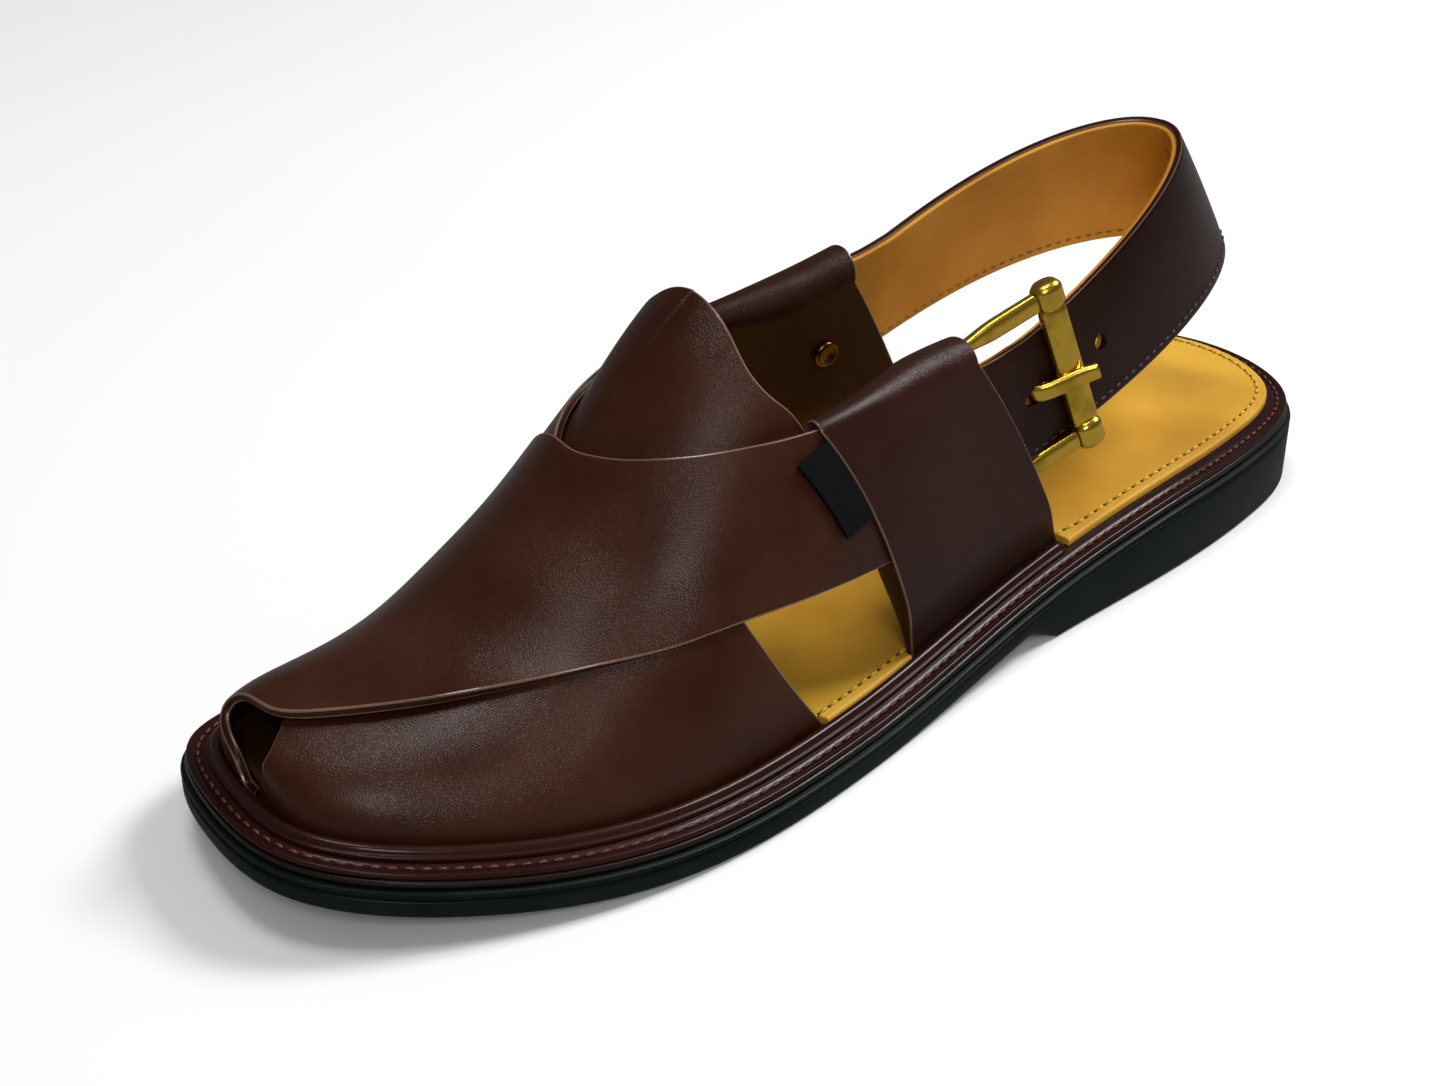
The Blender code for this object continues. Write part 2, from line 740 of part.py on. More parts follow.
def quarter_rear(side):
    """Station of a quarter's rear edge at half its height."""
    return float(station_of((QUARTER_FOOT[0] + QUARTER_TOP[0]) / 2.0 + quarter_shift(side)))


def strap_back(y):
    """How far back a station is, from 0 at the quarter's rear edge to 1 at the heel's top edge."""
    heel = HEEL_STRAP_SETBACK - SOLE_LENGTH / 2.0
    back = (quarter_rear(OUTER) - y) / (quarter_rear(OUTER) - heel)
    return (back + np.hypot(back, STRAP_EASING)) / 2.0


def strap_edges(y, share, inner):
    """Height of the back strap at a station: share is 0 at its lower edge and 1 at its top."""
    back = strap_back(y)
    top = QUARTER_STRAP_TOP + (HEEL_STRAP_TOP - QUARTER_STRAP_TOP) * back
    top = top + np.where(inner, INNER_STRAP_RISE * (1.0 - back**2), 0.0)
    width = BACK_STRAP_WIDTH + (HEEL_STRAP_RISE - BACK_STRAP_WIDTH) * back
    return top - width * (1.0 - share)


def strap_side(side, y, share):
    """Points of the back strap's middle along one quarter."""
    height = strap_edges(y, share, side == INNER)
    along = along_of(y)
    point, normal, _ = last_frame(rung_of(along), last_turn(side, along, height))
    return point + normal * strap_depth()


def strap_line(share, rows):
    """One line along the back strap, from the outer quarter round the heel to the inner one."""
    heel = HEEL_STRAP_SETBACK - HEEL_STRAP_LEAN * (1.0 - share) - SOLE_LENGTH / 2.0
    straight = rows // 6
    turns = np.linspace(-math.pi / 2.0, math.pi / 2.0, rows - 2 * straight + 2)[1:-1]
    around = np.abs(np.sin(turns)) ** (2.0 / HEEL_BEND)
    behind = np.cos(turns) ** (2.0 / HEEL_BEND)
    inside = turns > 0.0
    runs, halves = [], []
    for side in (OUTER, INNER):
        mouth = quarter_rear(side)
        run = strap_side(side, np.linspace(mouth + BACK_STRAP_REACH, mouth, straight), share)
        y = mouth - (mouth - heel) * behind
        runs.append(run)
        halves.append((run[-1, 0], y))
    middle = (halves[OUTER][0] + halves[INNER][0]) / 2.0
    half = (halves[INNER][0] - halves[OUTER][0]) / 2.0 + HEEL_STRAP_FLARE * (1.0 - share) * np.cos(turns)
    x = middle + half * around * np.sign(turns)
    y = np.where(inside, halves[INNER][1], halves[OUTER][1])
    curve = np.column_stack([x, y, strap_edges(y, share, inside)])
    return np.vstack([runs[OUTER], curve, runs[INNER][::-1]])


def strap_surface():
    """The back strap's middle surface and its outward normals, lower edge in the first column."""
    lines = [strap_line(share, BACK_STRAP_ROWS) for share in np.linspace(0.0, 1.0, 4)]
    middle = np.array(lines).transpose(1, 0, 2)
    normal = np.cross(np.gradient(middle, axis=0), np.gradient(middle, axis=1))
    normal /= np.linalg.norm(normal, axis=2)[:, :, None]
    return middle, normal


def strap_frame(y):
    """Middle point, run towards the heel, way up, outward normal and width of the strap there."""
    middle, normal = strap_surface()
    half = BACK_STRAP_ROWS // 2
    centre = (middle[:half, 1] + middle[:half, 2]) / 2.0
    facing = (normal[:half, 1] + normal[:half, 2]) / 2.0
    across = middle[:half, 3] - middle[:half, 0]
    order = centre[:, 1].argsort()
    point, run, outward, across = (
        np.array([np.interp(y, centre[order, 1], part[order, i]) for i in range(3)])
        for part in (centre, np.gradient(centre, axis=0), facing, across)
    )
    run /= np.linalg.norm(run)
    up = np.cross(outward, run)
    up /= np.linalg.norm(up)
    if up[2] < 0.0:
        up = -up
    outward -= run * np.dot(run, outward)
    return point, run, up, outward / np.linalg.norm(outward), float(np.dot(across, up))


def buckle_stations():
    """Stations of the roller and of the hinge bar in the fold."""
    roller = quarter_rear(OUTER) - BUCKLE_REACH
    return roller, roller + FRAME_LENGTH


def cutter(name, place, length, width):
    """An oval cutter through the strap, long along its run."""
    point, run, up, outward, _ = place
    turns = np.linspace(0.0, 2.0 * math.pi, 16, endpoint=False)
    oval = np.outer(np.cos(turns), run * length / 2.0) + np.outer(np.sin(turns), up * width / 2.0)
    ends = [point + oval + outward * BACK_STRAP_WALL * way for way in (-1.0, 1.0)]
    faces = loop_faces(2, 16) + [tuple(range(16)), tuple(range(16, 32))]
    thing = solid(name, np.vstack(ends), faces, finish(name, (1.0, 1.0, 1.0), 1.0))
    thing.hide_render = True
    thing.display_type = "WIRE"
    return thing


def build_back_strap():
    """The strap round the heel, with the slot for its prong and the next hole behind it."""
    leather = finish("back_strap_leather", (0.055, 0.020, 0.014), 0.38)
    middle, normal = strap_surface()
    half = normal * BACK_STRAP_WALL / 2.0
    strap = slab("back_strap", middle + half, middle - half, leather)
    slot = buckle_stations()[1] - PRONG_HOLE_REACH
    holes = [
        cutter("slot_cutter", strap_frame(slot), PRONG_SLOT, STRAP_HOLE),
        cutter("hole_cutter", strap_frame(slot - STRAP_HOLE_SPACING), STRAP_HOLE, STRAP_HOLE),
    ]
    for hole in holes:
        modifier = strap.modifiers.new(hole.name, "BOOLEAN")
        modifier.operation = "DIFFERENCE"
        modifier.solver = "EXACT"
        modifier.object = hole
    return strap


def rounded_loop(corners, radius, steps):
    """A closed path through four corners, each turned with an arc, and its plane's normal."""
    corners = np.asarray(corners)
    normal = np.cross(corners[1] - corners[0], corners[2] - corners[1])
    normal /= np.linalg.norm(normal)
    path = []
    for i in range(4):
        back = corners[i - 1] - corners[i]
        ahead = corners[(i + 1) % 4] - corners[i]
        back, ahead = back / np.linalg.norm(back), ahead / np.linalg.norm(ahead)
        centre = corners[i] + (back + ahead) * radius
        for angle in np.linspace(0.0, math.pi / 2.0, steps):
            path.append(centre - radius * (ahead * math.cos(angle) + back * math.sin(angle)))
    return np.array(path), normal


def wire(name, path, normal, radius, material, closed):
    """A round wire along a path that lies in one plane. Radius may change along it."""
    radius = np.broadcast_to(radius, len(path))
    if closed:
        way = np.roll(path, -1, axis=0) - np.roll(path, 1, axis=0)
    else:
        way = np.gradient(path, axis=0)
    way /= np.linalg.norm(way, axis=1)[:, None]
    side = np.cross(way, normal)
    loops = []
    for angle in np.linspace(0.0, 2.0 * math.pi, WIRE_SIDES, endpoint=False):
        loops.append(path + radius[:, None] * (math.cos(angle) * side + math.sin(angle) * normal))
    points = np.array(loops).transpose(1, 0, 2)
    faces = loop_faces(len(path), WIRE_SIDES, wrap=closed)
    if not closed:
        last = (len(path) - 1) * WIRE_SIDES
        faces += [tuple(range(WIRE_SIDES)), tuple(range(last, last + WIRE_SIDES))]
    return solid(name, points.reshape(-1, 3), faces, material)


def bars():
    """Centres, half length and way up of the buckle's roller bar and hinge bar."""
    roller_y, hinge_y = buckle_stations()
    point, _, up, outward, width = strap_frame(roller_y)
    roller = point + up * BUCKLE_RISE + outward * (BACK_STRAP_WALL / 2.0 + PIECE_GAP + ROLLER_DIAMETER / 2.0)
    point, _, _, outward, _ = strap_frame(hinge_y)
    hinge = point - up * HINGE_DROP - outward * ((BACK_STRAP_WALL + FRAME_WIRE) / 2.0 + HINGE_SPACE)
    return roller, hinge, (width + FRAME_WIRE) / 2.0 + ARM_SPACE, up


def build_buckle_frame(brass):
    roller, hinge, half, up = bars()
    corners = [roller + up * half, hinge + up * half, hinge - up * half, roller - up * half]
    path, normal = rounded_loop(corners, FRAME_CORNER, 4)
    return wire("buckle_frame", path, normal, FRAME_WIRE / 2.0, brass, closed=True)


def build_buckle_roller(brass):
    """The tube that turns on the frame's outer bar."""
    centre, hinge, half, up = bars()
    across = np.cross(up, hinge - centre)
    across /= np.linalg.norm(across)
    beside = np.cross(up, across)
    reach = half - FRAME_CORNER - ROLLER_SPACE
    bore = FRAME_WIRE / 2.0 + ROLLER_SPACE
    turns = np.linspace(0.0, 2.0 * math.pi, 2 * WIRE_SIDES, endpoint=False)
    circle = np.outer(np.cos(turns), across) + np.outer(np.sin(turns), beside)
    profile = [(bore, -1), (ROLLER_DIAMETER / 2.0, -1), (ROLLER_DIAMETER / 2.0, 1), (bore, 1)]
    loops = [centre + up * reach * end + circle * radius for radius, end in profile]
    faces = loop_faces(len(loops), len(turns), wrap=True)
    return solid("buckle_roller", np.vstack(loops), faces, brass)


def build_buckle_prong(brass):
    """The pin: from the hinge bar, out through the strap's slot and over the roller."""
    roller, hinge = buckle_stations()
    slot = hinge - PRONG_HOLE_REACH
    under = -(BACK_STRAP_WALL + PRONG_THICKNESS) / 2.0 - PIECE_GAP
    over = (BACK_STRAP_WALL + PRONG_THICKNESS) / 2.0 + ROLLER_DIAMETER + 2.0 * PIECE_GAP
    knots = [
        (hinge - (FRAME_WIRE + PRONG_THICKNESS) / 2.0 - PIECE_GAP, under),
        (slot + 0.0034, under),
        (slot, 0.0),
        (slot - 0.0028, -under),
        (roller + 0.0030, over - 0.0002),
        (roller - 0.0016, over),
        (roller - PRONG_TIP, over - 0.0016),
    ]
    at = np.linspace(0.0, len(knots) - 1.0, 18)
    path = []
    for station, offset in smooth_through(np.arange(len(knots)), knots, at):
        point, _, up, outward, _ = strap_frame(station)
        path.append(point + outward * offset)
    taper = 1.0 - 0.35 * ease((at - 4.5) / 1.5)
    return wire("buckle_prong", np.array(path), up, PRONG_THICKNESS / 2.0 * taper, brass, closed=False)


def build_rivet(brass):
    """The rivet on the inner quarter's face towards the foot."""
    length, height = RIVET_PLACE
    rung, turn = quarter_place(INNER, length, np.array([height]))
    point, normal, upward = (part[0] for part in last_frame(rung, turn))
    _, inner = quarter_faces(length, np.array([height]))
    beside = np.cross(normal, upward)
    turns = np.linspace(0.0, 2.0 * math.pi, 2 * WIRE_SIDES, endpoint=False)
    circle = np.outer(np.cos(turns), upward) + np.outer(np.sin(turns), beside)
    seat = point + normal * (inner[0] - PIECE_GAP)
    profile = [(1.0, 0.0), (1.0, 0.55), (0.72, 1.0), (0.40, 1.0), (0.34, 0.45)]
    loops = [seat - normal * RIVET_HEIGHT * up + circle * RIVET_DIAMETER / 2.0 * out for out, up in profile]
    count = len(turns)
    faces = loop_faces(len(loops), count)
    faces += [tuple(range(count)), tuple(range((len(loops) - 1) * count, len(loops) * count))]
    return solid("quarter_rivet", np.vstack(loops), faces, brass)


def build_side_tab():
    """The small woven tab along the outer quarter's front edge. It carries no mark."""
    cloth = finish("side_tab_cloth", (0.010, 0.011, 0.013), 0.8)
    turn = np.linspace(*TAB_TURN, 4)[:, None]
    height = turn / QUARTER_FOLD[OUTER][-1]
    rear = QUARTER_FOOT[1] + (QUARTER_TOP[1] - QUARTER_FOOT[1]) * height + PIECE_GAP / SOLE_LENGTH
    along = rear + np.linspace(0.0, TAB_WIDTH / SOLE_LENGTH, 3)[None, :]
    turn = np.broadcast_to(turn, along.shape)
    offset = np.full(along.shape, STRAP_BITE + UPPER_WALL + PIECE_GAP)
    return sheet_on_last("side_tab", rung_of(along), turn, offset, TAB_THICKNESS, cloth)


def main():
    remove_everything()
    build_outsole()
    build_midsole()
    build_welt()
    build_rand()
    build_insole()
    build_upper()
    build_tongue()
    build_back_strap()
    brass = finish("brass", (0.78, 0.55, 0.16), 0.22, metallic=1.0)
    build_buckle_frame(brass)
    build_buckle_roller(brass)
    build_buckle_prong(brass)
    build_rivet(brass)
    build_side_tab()


if __name__ == "__main__":
    main()
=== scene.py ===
"""Looks of a left peshawari chappal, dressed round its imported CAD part.

Metres, +Y to the toe, +Z up, -X on the outer side of the foot. The origin is on the floor under
the middle of the sole.
"""

import logging
import math
from dataclasses import dataclass, field
from enum import Enum
from typing import Callable, Iterable, Sequence

import bpy
import numpy as np
from mathutils import Matrix, Vector


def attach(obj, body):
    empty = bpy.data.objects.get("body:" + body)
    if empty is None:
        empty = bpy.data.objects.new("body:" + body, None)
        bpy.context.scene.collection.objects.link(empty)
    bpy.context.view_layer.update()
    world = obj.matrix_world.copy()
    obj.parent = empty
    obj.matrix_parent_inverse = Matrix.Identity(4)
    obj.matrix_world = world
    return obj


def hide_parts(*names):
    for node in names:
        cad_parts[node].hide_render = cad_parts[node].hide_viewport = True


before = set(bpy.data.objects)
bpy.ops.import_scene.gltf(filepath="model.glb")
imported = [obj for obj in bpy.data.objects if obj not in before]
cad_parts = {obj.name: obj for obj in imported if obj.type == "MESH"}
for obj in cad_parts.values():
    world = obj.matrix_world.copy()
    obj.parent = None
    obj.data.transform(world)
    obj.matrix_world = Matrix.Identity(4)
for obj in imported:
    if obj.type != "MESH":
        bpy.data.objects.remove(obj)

LOG = logging.getLogger("chappal")
BODY = "root"
SEAM = 1e-6

Points = np.ndarray
Colour = tuple[float, float, float]
Height = Callable[[Points], Points]


class Side(Enum):
    """The two sides of the shoe, in the order of the tables."""

    OUTER = 0
    INNER = 1


def ease(value: Points) -> Points:
    """Gives 0 below 0, 1 above 1, and a smooth step between."""
    value = np.clip(value, 0.0, 1.0)
    return value * value * (3.0 - 2.0 * value)


def smooth_through(knots: Points, values: Points, at: Points) -> Points:
    """Reads a smooth curve through rows of values.

    Args:
        knots: Places of the rows, rising.
        values: One row of values for each knot.
        at: Places to read.

    Returns:
        One row for each place.
    """
    knots, values, at = (np.asarray(part, float) for part in (knots, values, at))
    gaps = np.diff(knots)
    slopes = (np.diff(values, axis=0).T / gaps).T
    count = len(knots)
    system = np.eye(count)
    bends = np.zeros_like(values)
    for i in range(1, count - 1):
        system[i, i - 1 : i + 2] = gaps[i - 1], 2.0 * (gaps[i - 1] + gaps[i]), gaps[i]
        bends[i] = 6.0 * (slopes[i] - slopes[i - 1])
    bends = np.linalg.solve(system, bends)
    span = np.clip(np.searchsorted(knots, at) - 1, 0, count - 2)
    width, after, before = gaps[span], at - knots[span], knots[span + 1] - at
    if values.ndim > 1:
        width, after, before = width[:, None], after[:, None], before[:, None]
    bent = bends[span] * (before**3 / width - width * before) / 6.0
    bent += bends[span + 1] * (after**3 / width - width * after) / 6.0
    return bent + (values[span] * before + values[span + 1] * after) / width


def unit(vectors: Points) -> Points:
    """Gives the vectors the length 1."""
    return vectors / np.linalg.norm(vectors, axis=-1, keepdims=True)


@dataclass
class SoleForm:
    """The sole's edge in plan and the levels of its layers."""

    length: float = 0.295
    width: float = 0.1005
    heel_lift: float = 0.0109
    toe_spring: float = 0.0102
    outsole: float = 0.0056
    gap: float = 0.0003
    midsole: float = 0.0015
    welt: float = 0.0012
    heel_seat_end: float = 0.206
    ball_start: float = 0.596
    spring_start: float = 0.681
    breast: tuple[float, float] = (0.382, 0.413)
    outline: Sequence[tuple[float, float]] = (
        (0.03, 0.000), (-0.47, 0.041), (-0.65, 0.122), (-0.74, 0.264), (-0.77, 0.396),
        (-0.885, 0.546), (-0.985, 0.672), (-0.97, 0.788), (-0.73, 0.909), (-0.27, 0.996),
        (0.18, 1.000), (0.59, 0.976), (0.84, 0.867), (0.99, 0.730), (0.95, 0.595),
        (0.78, 0.443), (0.70, 0.291), (0.735, 0.137), (0.565, 0.030),
    )

    def __post_init__(self) -> None:
        """Works the edge out once: points and outward normals, by side and all round."""
        points = np.array(self.outline) * (self.width / 2.0, self.length)
        wrap = 4
        chain = np.vstack([points[-wrap:], points, points[: wrap + 1]])
        walked = np.concatenate([[0.0], np.cumsum(np.linalg.norm(np.diff(chain, axis=0), axis=1))])
        at = np.linspace(walked[wrap], walked[wrap + len(points)], 1600, endpoint=False)
        curve = smooth_through(walked, chain, at)
        low, high = curve.min(axis=0), curve.max(axis=0)
        curve = ((curve - low) / (high - low) - 0.5) * (self.width, self.length)
        way = np.roll(curve, -1, axis=0) - np.roll(curve, 1, axis=0)
        normal = unit(np.column_stack([-way[:, 1], way[:, 0]]))
        heel = int(curve[:, 1].argmin())
        self.loop = np.hstack([np.roll(curve, -heel, axis=0), np.roll(normal, -heel, axis=0)])
        toe = int(self.loop[:, 1].argmax())
        inner = np.vstack([self.loop[toe:], self.loop[:1]])[::-1]
        self.branches = (self.loop[: toe + 1], inner)

    def edge(self, side: Side, station: Points, inset: Points) -> Points:
        """Points in plan at stations along Y on one side, moved inwards from the edge."""
        branch = self.branches[side.value]
        x, y, across, forward = (np.interp(station, branch[:, 1], branch[:, i]) for i in range(4))
        length = np.hypot(across, forward)
        return np.column_stack([x - inset * across / length, y - inset * forward / length])

    def around(self, share: Points, inset: Points) -> Points:
        """Points in plan all round: share runs from the heel over the outer side and the toe."""
        at = np.mod(share, 1.0) * len(self.loop)
        knots = np.arange(len(self.loop) + 1)
        closed = np.vstack([self.loop, self.loop[:1]])
        x, y, across, forward = (np.interp(at, knots, closed[:, i]) for i in range(4))
        length = np.hypot(across, forward)
        return np.column_stack([x - inset * across / length, y - inset * forward / length])

    def along(self, y: Points) -> Points:
        """Share of the length from the heel."""
        return np.asarray(y) / self.length + 0.5

    def station(self, along: Points) -> Points:
        """Y of a share of the length from the heel."""
        return (np.asarray(along) - 0.5) * self.length

    def shank(self, y: Points) -> Points:
        """Height of the underside, without the heel block."""
        along = self.along(y)
        fall = (along - self.heel_seat_end) / (self.ball_start - self.heel_seat_end)
        toe = np.clip((along - self.spring_start) / (1.0 - self.spring_start), 0.0, None)
        return self.heel_lift * (1.0 - ease(fall)) + self.toe_spring * toe**2

    def tread(self, y: Points) -> Points:
        """Height of the lowest face, with the heel block and its slanted breast."""
        foot, top = self.breast
        return self.shank(y) * np.clip((self.along(y) - foot) / (top - foot), 0.0, 1.0)

    def outsole_top(self, y: Points) -> Points:
        """Top of the rubber."""
        return self.shank(y) + self.outsole

    def midsole_floor(self, y: Points) -> Points:
        """Underside of the board."""
        return self.outsole_top(y) + self.gap

    def welt_floor(self, y: Points) -> Points:
        """Underside of the welt."""
        return self.midsole_floor(y) + self.midsole + self.gap

    def welt_top(self, y: Points) -> Points:
        """Top of the welt."""
        return self.welt_floor(y) + self.welt

    def foot_level(self, y: Points) -> Points:
        """Where the straps' feet, the rand and the insole stand."""
        return self.welt_top(y) + self.gap


def above(level: Height, rise: float) -> Height:
    """The height function that runs this far above another."""
    return lambda y: level(y) + rise


@dataclass
class FootForm:
    """The form over which straps, tongue and quarters lie."""

    sole: SoleForm
    rand_inset: float = 0.0052
    rand_width: float = 0.0032
    foot_gap: float = 0.0005
    wall: float = 0.0018
    instep_rise: float = 0.0840
    toe_setback: float = 0.0010
    ridge_ease: float = 0.060
    outer_fullness: float = 2.0
    ridge: Sequence[tuple[float, float, float, float]] = (
        (0.000, 1.000, 0.08, 2.4), (0.325, 1.000, 0.08, 2.4), (0.511, 0.985, 0.09, 2.2),
        (0.593, 0.893, 0.12, 2.0), (0.647, 0.782, 0.14, 1.8), (0.698, 0.636, 0.14, 1.7),
        (0.725, 0.551, 0.14, 1.7), (0.779, 0.420, 0.14, 1.7), (0.833, 0.307, 0.14, 1.7),
        (0.888, 0.240, 0.15, 1.7), (0.950, 0.190, 0.17, 1.8), (1.000, 0.133, 0.175, 2.0),
    )

    @property
    def base_inset(self) -> float:
        """How far inside the sole's edge the form stands."""
        return self.rand_inset + self.rand_width + self.foot_gap + self.wall

    def rung(self, along: Points) -> Points:
        """Place on the rungs, which are evenly spaced in angle."""
        return np.arccos(1.0 - 2.0 * np.clip(np.asarray(along, float), 0.0, 1.0)) / math.pi

    def point(self, rung: Points, turn: Points) -> Points:
        """Points of the form: rung goes from heel to toe, turn from the outer to the inner side.

        The form is rounded over its ridge, where the two flanks meet.
        """
        reach = self.ridge_ease * np.clip(1.0 - ((turn - 0.5) / 0.20) ** 2, 0.0, 1.0) ** 2
        steps = np.linspace(-1.0, 1.0, 13)
        shares = (1.0 - 0.9 * steps**2) / np.sum(1.0 - 0.9 * steps**2)
        return sum(share * self.flank_point(rung, turn + reach * step)
                   for step, share in zip(steps, shares))

    def flank_point(self, rung: Points, turn: Points) -> Points:
        """Points of the form as its two flanks give them."""
        along = 0.5 - 0.5 * np.cos(math.pi * rung)
        station = self.sole.station(along)
        outer = self.sole.edge(Side.OUTER, station, self.base_inset)
        inner = self.sole.edge(Side.INNER, station, self.base_inset)
        base = np.where(turn[:, None] < 0.5, outer, inner)
        rows = np.array(self.ridge)
        rise, across, fullness = smooth_through(rows[:, 0], rows[:, 1:], along).T
        middle = (outer[:, 1] + inner[:, 1]) / 2.0 - self.toe_setback * along**8
        ridge = np.column_stack([across * self.sole.width / 2.0, middle])
        bend = 2.0 / np.where(turn < 0.5, self.outer_fullness, fullness)
        spread = np.abs(np.cos(math.pi * turn)) ** bend
        height = np.abs(np.sin(math.pi * turn)) ** bend
        plan = ridge + (base - ridge) * spread[:, None]
        low = self.sole.foot_level(base[:, 1])
        top = self.sole.foot_level(ridge[:, 1]) + self.instep_rise * rise
        return np.column_stack([plan, low + (top - low) * height])

    def frame(self, rung: Points, turn: Points) -> tuple[Points, Points, Points]:
        """Points of the form, their outward normals, and the way up towards the ridge."""
        step = 0.002
        rung, turn = (part.ravel() for part in np.broadcast_arrays(rung, turn))
        near, far = np.clip(rung - step, 0.0, 1.0), np.clip(rung + step, 0.0, 1.0)
        low, high = np.clip(turn - step, 0.0, 1.0), np.clip(turn + step, 0.0, 1.0)
        forward = self.point(far, turn) - self.point(near, turn)
        over = self.point(rung, high) - self.point(rung, low)
        upward = unit(over * np.where(turn < 0.5, 1.0, -1.0)[:, None])
        return self.point(rung, turn), unit(np.cross(over, forward)), upward

    def turn(self, side: Side, along: Points, height: Points) -> Points:
        """The turn at which the form reaches a height above the floor, on one side."""
        low = self.sole.foot_level(self.sole.station(along))
        rows = np.array(self.ridge)
        rise, _, fullness = smooth_through(rows[:, 0], rows[:, 1:], along).T
        bend = 2.0 / (self.outer_fullness if side is Side.OUTER else fullness)
        share = np.clip((height - low) / (self.instep_rise * rise), 0.0, 1.0) ** (1.0 / bend)
        turn = np.arcsin(share) / math.pi
        return turn if side is Side.OUTER else 1.0 - turn


class Bench:
    """The modelling steps that every piece goes through."""

    @staticmethod
    def clear() -> None:
        """Deselects everything, so that an operator acts on one piece alone."""
        if bpy.context.object and bpy.context.object.mode != "OBJECT":
            bpy.ops.object.mode_set(mode="OBJECT")
        bpy.ops.object.select_all(action="DESELECT")

    @classmethod
    def pick(cls, thing: bpy.types.Object) -> None:
        """Selects one object and makes it active."""
        cls.clear()
        thing.select_set(True)
        bpy.context.view_layer.objects.active = thing

    @classmethod
    def edit(cls, thing: bpy.types.Object, *steps: Callable[[], object]) -> None:
        """Runs edit-mode operators on all of a piece."""
        cls.pick(thing)
        bpy.ops.object.mode_set(mode="EDIT")
        bpy.ops.mesh.select_all(action="SELECT")
        for step in steps:
            step()
        bpy.ops.object.mode_set(mode="OBJECT")

    @classmethod
    def sheet(cls, name: str, cells: tuple[int, int], place: Callable[[Points, Points], Points],
              closed: bool = False, flip: bool = False) -> bpy.types.Object:
        """Adds a grid and lays it on a surface.

        Args:
            name: The piece's name.
            cells: How many faces along and across.
            place: Gives the points for shares along and across, both from 0 to 1.
            closed: Whether edges that meet are welded and the faces turned outwards.
            flip: Whether the faces are turned over.

        Returns:
            The piece.
        """
        cls.clear()
        bpy.ops.mesh.primitive_grid_add(x_subdivisions=cells[0], y_subdivisions=cells[1], size=1.0)
        thing = bpy.context.object
        thing.name = thing.data.name = name
        spots = cls.points(thing) + 0.5
        cls.move(thing, place(spots[:, 0], spots[:, 1]))
        if closed:
            cls.weld(thing)
        if flip:
            cls.edit(thing, bpy.ops.mesh.flip_normals)
        return thing

    @staticmethod
    def points(thing: bpy.types.Object) -> Points:
        """The vertices of a mesh, one row each."""
        spots = np.empty(len(thing.data.vertices) * 3)
        thing.data.vertices.foreach_get("co", spots)
        return spots.reshape(-1, 3)

    @staticmethod
    def move(thing: bpy.types.Object, spots: Points) -> None:
        """Puts the vertices where they belong."""
        thing.data.vertices.foreach_set("co", np.asarray(spots, float).ravel())
        thing.data.update()

    @classmethod
    def weld(cls, thing: bpy.types.Object) -> None:
        """Merges the seams and turns the faces outwards."""
        cls.edit(thing, lambda: bpy.ops.mesh.remove_doubles(threshold=SEAM),
                 lambda: bpy.ops.mesh.normals_make_consistent(inside=False))

    @classmethod
    def apply(cls, thing: bpy.types.Object, kind: str, **settings: object) -> None:
        """Adds a modifier with its settings and applies it."""
        cls.pick(thing)
        modifier = thing.modifiers.new(kind.lower(), kind)
        for key, value in settings.items():
            setattr(modifier, key, value)
        bpy.ops.object.modifier_apply(modifier=modifier.name)

    @classmethod
    def wall(cls, thing: bpy.types.Object, thickness: float) -> None:
        """Gives a sheet its thickness inwards. Its cut edges take the second finish."""
        thing.data.materials.append(None)
        thing.data.materials.append(None)
        cls.apply(thing, "SOLIDIFY", thickness=thickness, offset=-1.0, use_even_offset=False,
                  material_offset_rim=1)

    @classmethod
    def round_edges(cls, thing: bpy.types.Object, width: float, segments: int = 3,
                    angle: float = 50.0, line: int = -1) -> None:
        """Rounds the edges that are sharper than an angle in degrees.

        Args:
            thing: The piece.
            width: Width of the rounding.
            segments: Faces across it.
            angle: The angle.
            line: Number of the finish on the rounded faces, which carries the painted edge highlight, or -1 for
                their neighbours'.
        """
        while len(thing.data.materials) <= line:
            thing.data.materials.append(None)
        cls.apply(thing, "BEVEL", width=width, segments=segments, limit_method="ANGLE",
                  angle_limit=math.radians(angle), use_clamp_overlap=line < 0, material=line)

    @classmethod
    def smooth(cls, thing: bpy.types.Object, angle: float = 42.0) -> None:
        """Shades a piece smooth, up to an angle in degrees."""
        cls.pick(thing)
        bpy.ops.object.shade_smooth_by_angle(angle=math.radians(angle))

    @classmethod
    def carve(cls, thing: bpy.types.Object, tools: Iterable[bpy.types.Object]) -> None:
        """Cuts the tools out of a piece and removes them."""
        for tool in list(tools):
            cls.apply(thing, "BOOLEAN", object=tool, operation="DIFFERENCE", solver="EXACT")
            bpy.data.objects.remove(tool, do_unlink=True)

    @classmethod
    def join(cls, name: str, things: Sequence[bpy.types.Object]) -> bpy.types.Object:
        """Joins several objects into one piece."""
        cls.clear()
        for thing in things:
            thing.select_set(True)
        bpy.context.view_layer.objects.active = things[0]
        bpy.ops.object.join()
        joined = bpy.context.object
        joined.name = joined.data.name = name
        return joined

    @classmethod
    def copies(cls, name: str, model: bpy.types.Object, places: Sequence[Matrix]) -> bpy.types.Object:
        """Copies a small model to each place and joins the copies."""
        things = []
        for place in places:
            thing = model.copy()
            thing.data = model.data.copy()
            thing.data.transform(place)
            bpy.context.scene.collection.objects.link(thing)
            things.append(thing)
        bpy.data.objects.remove(model, do_unlink=True)
        return cls.join(name, things)

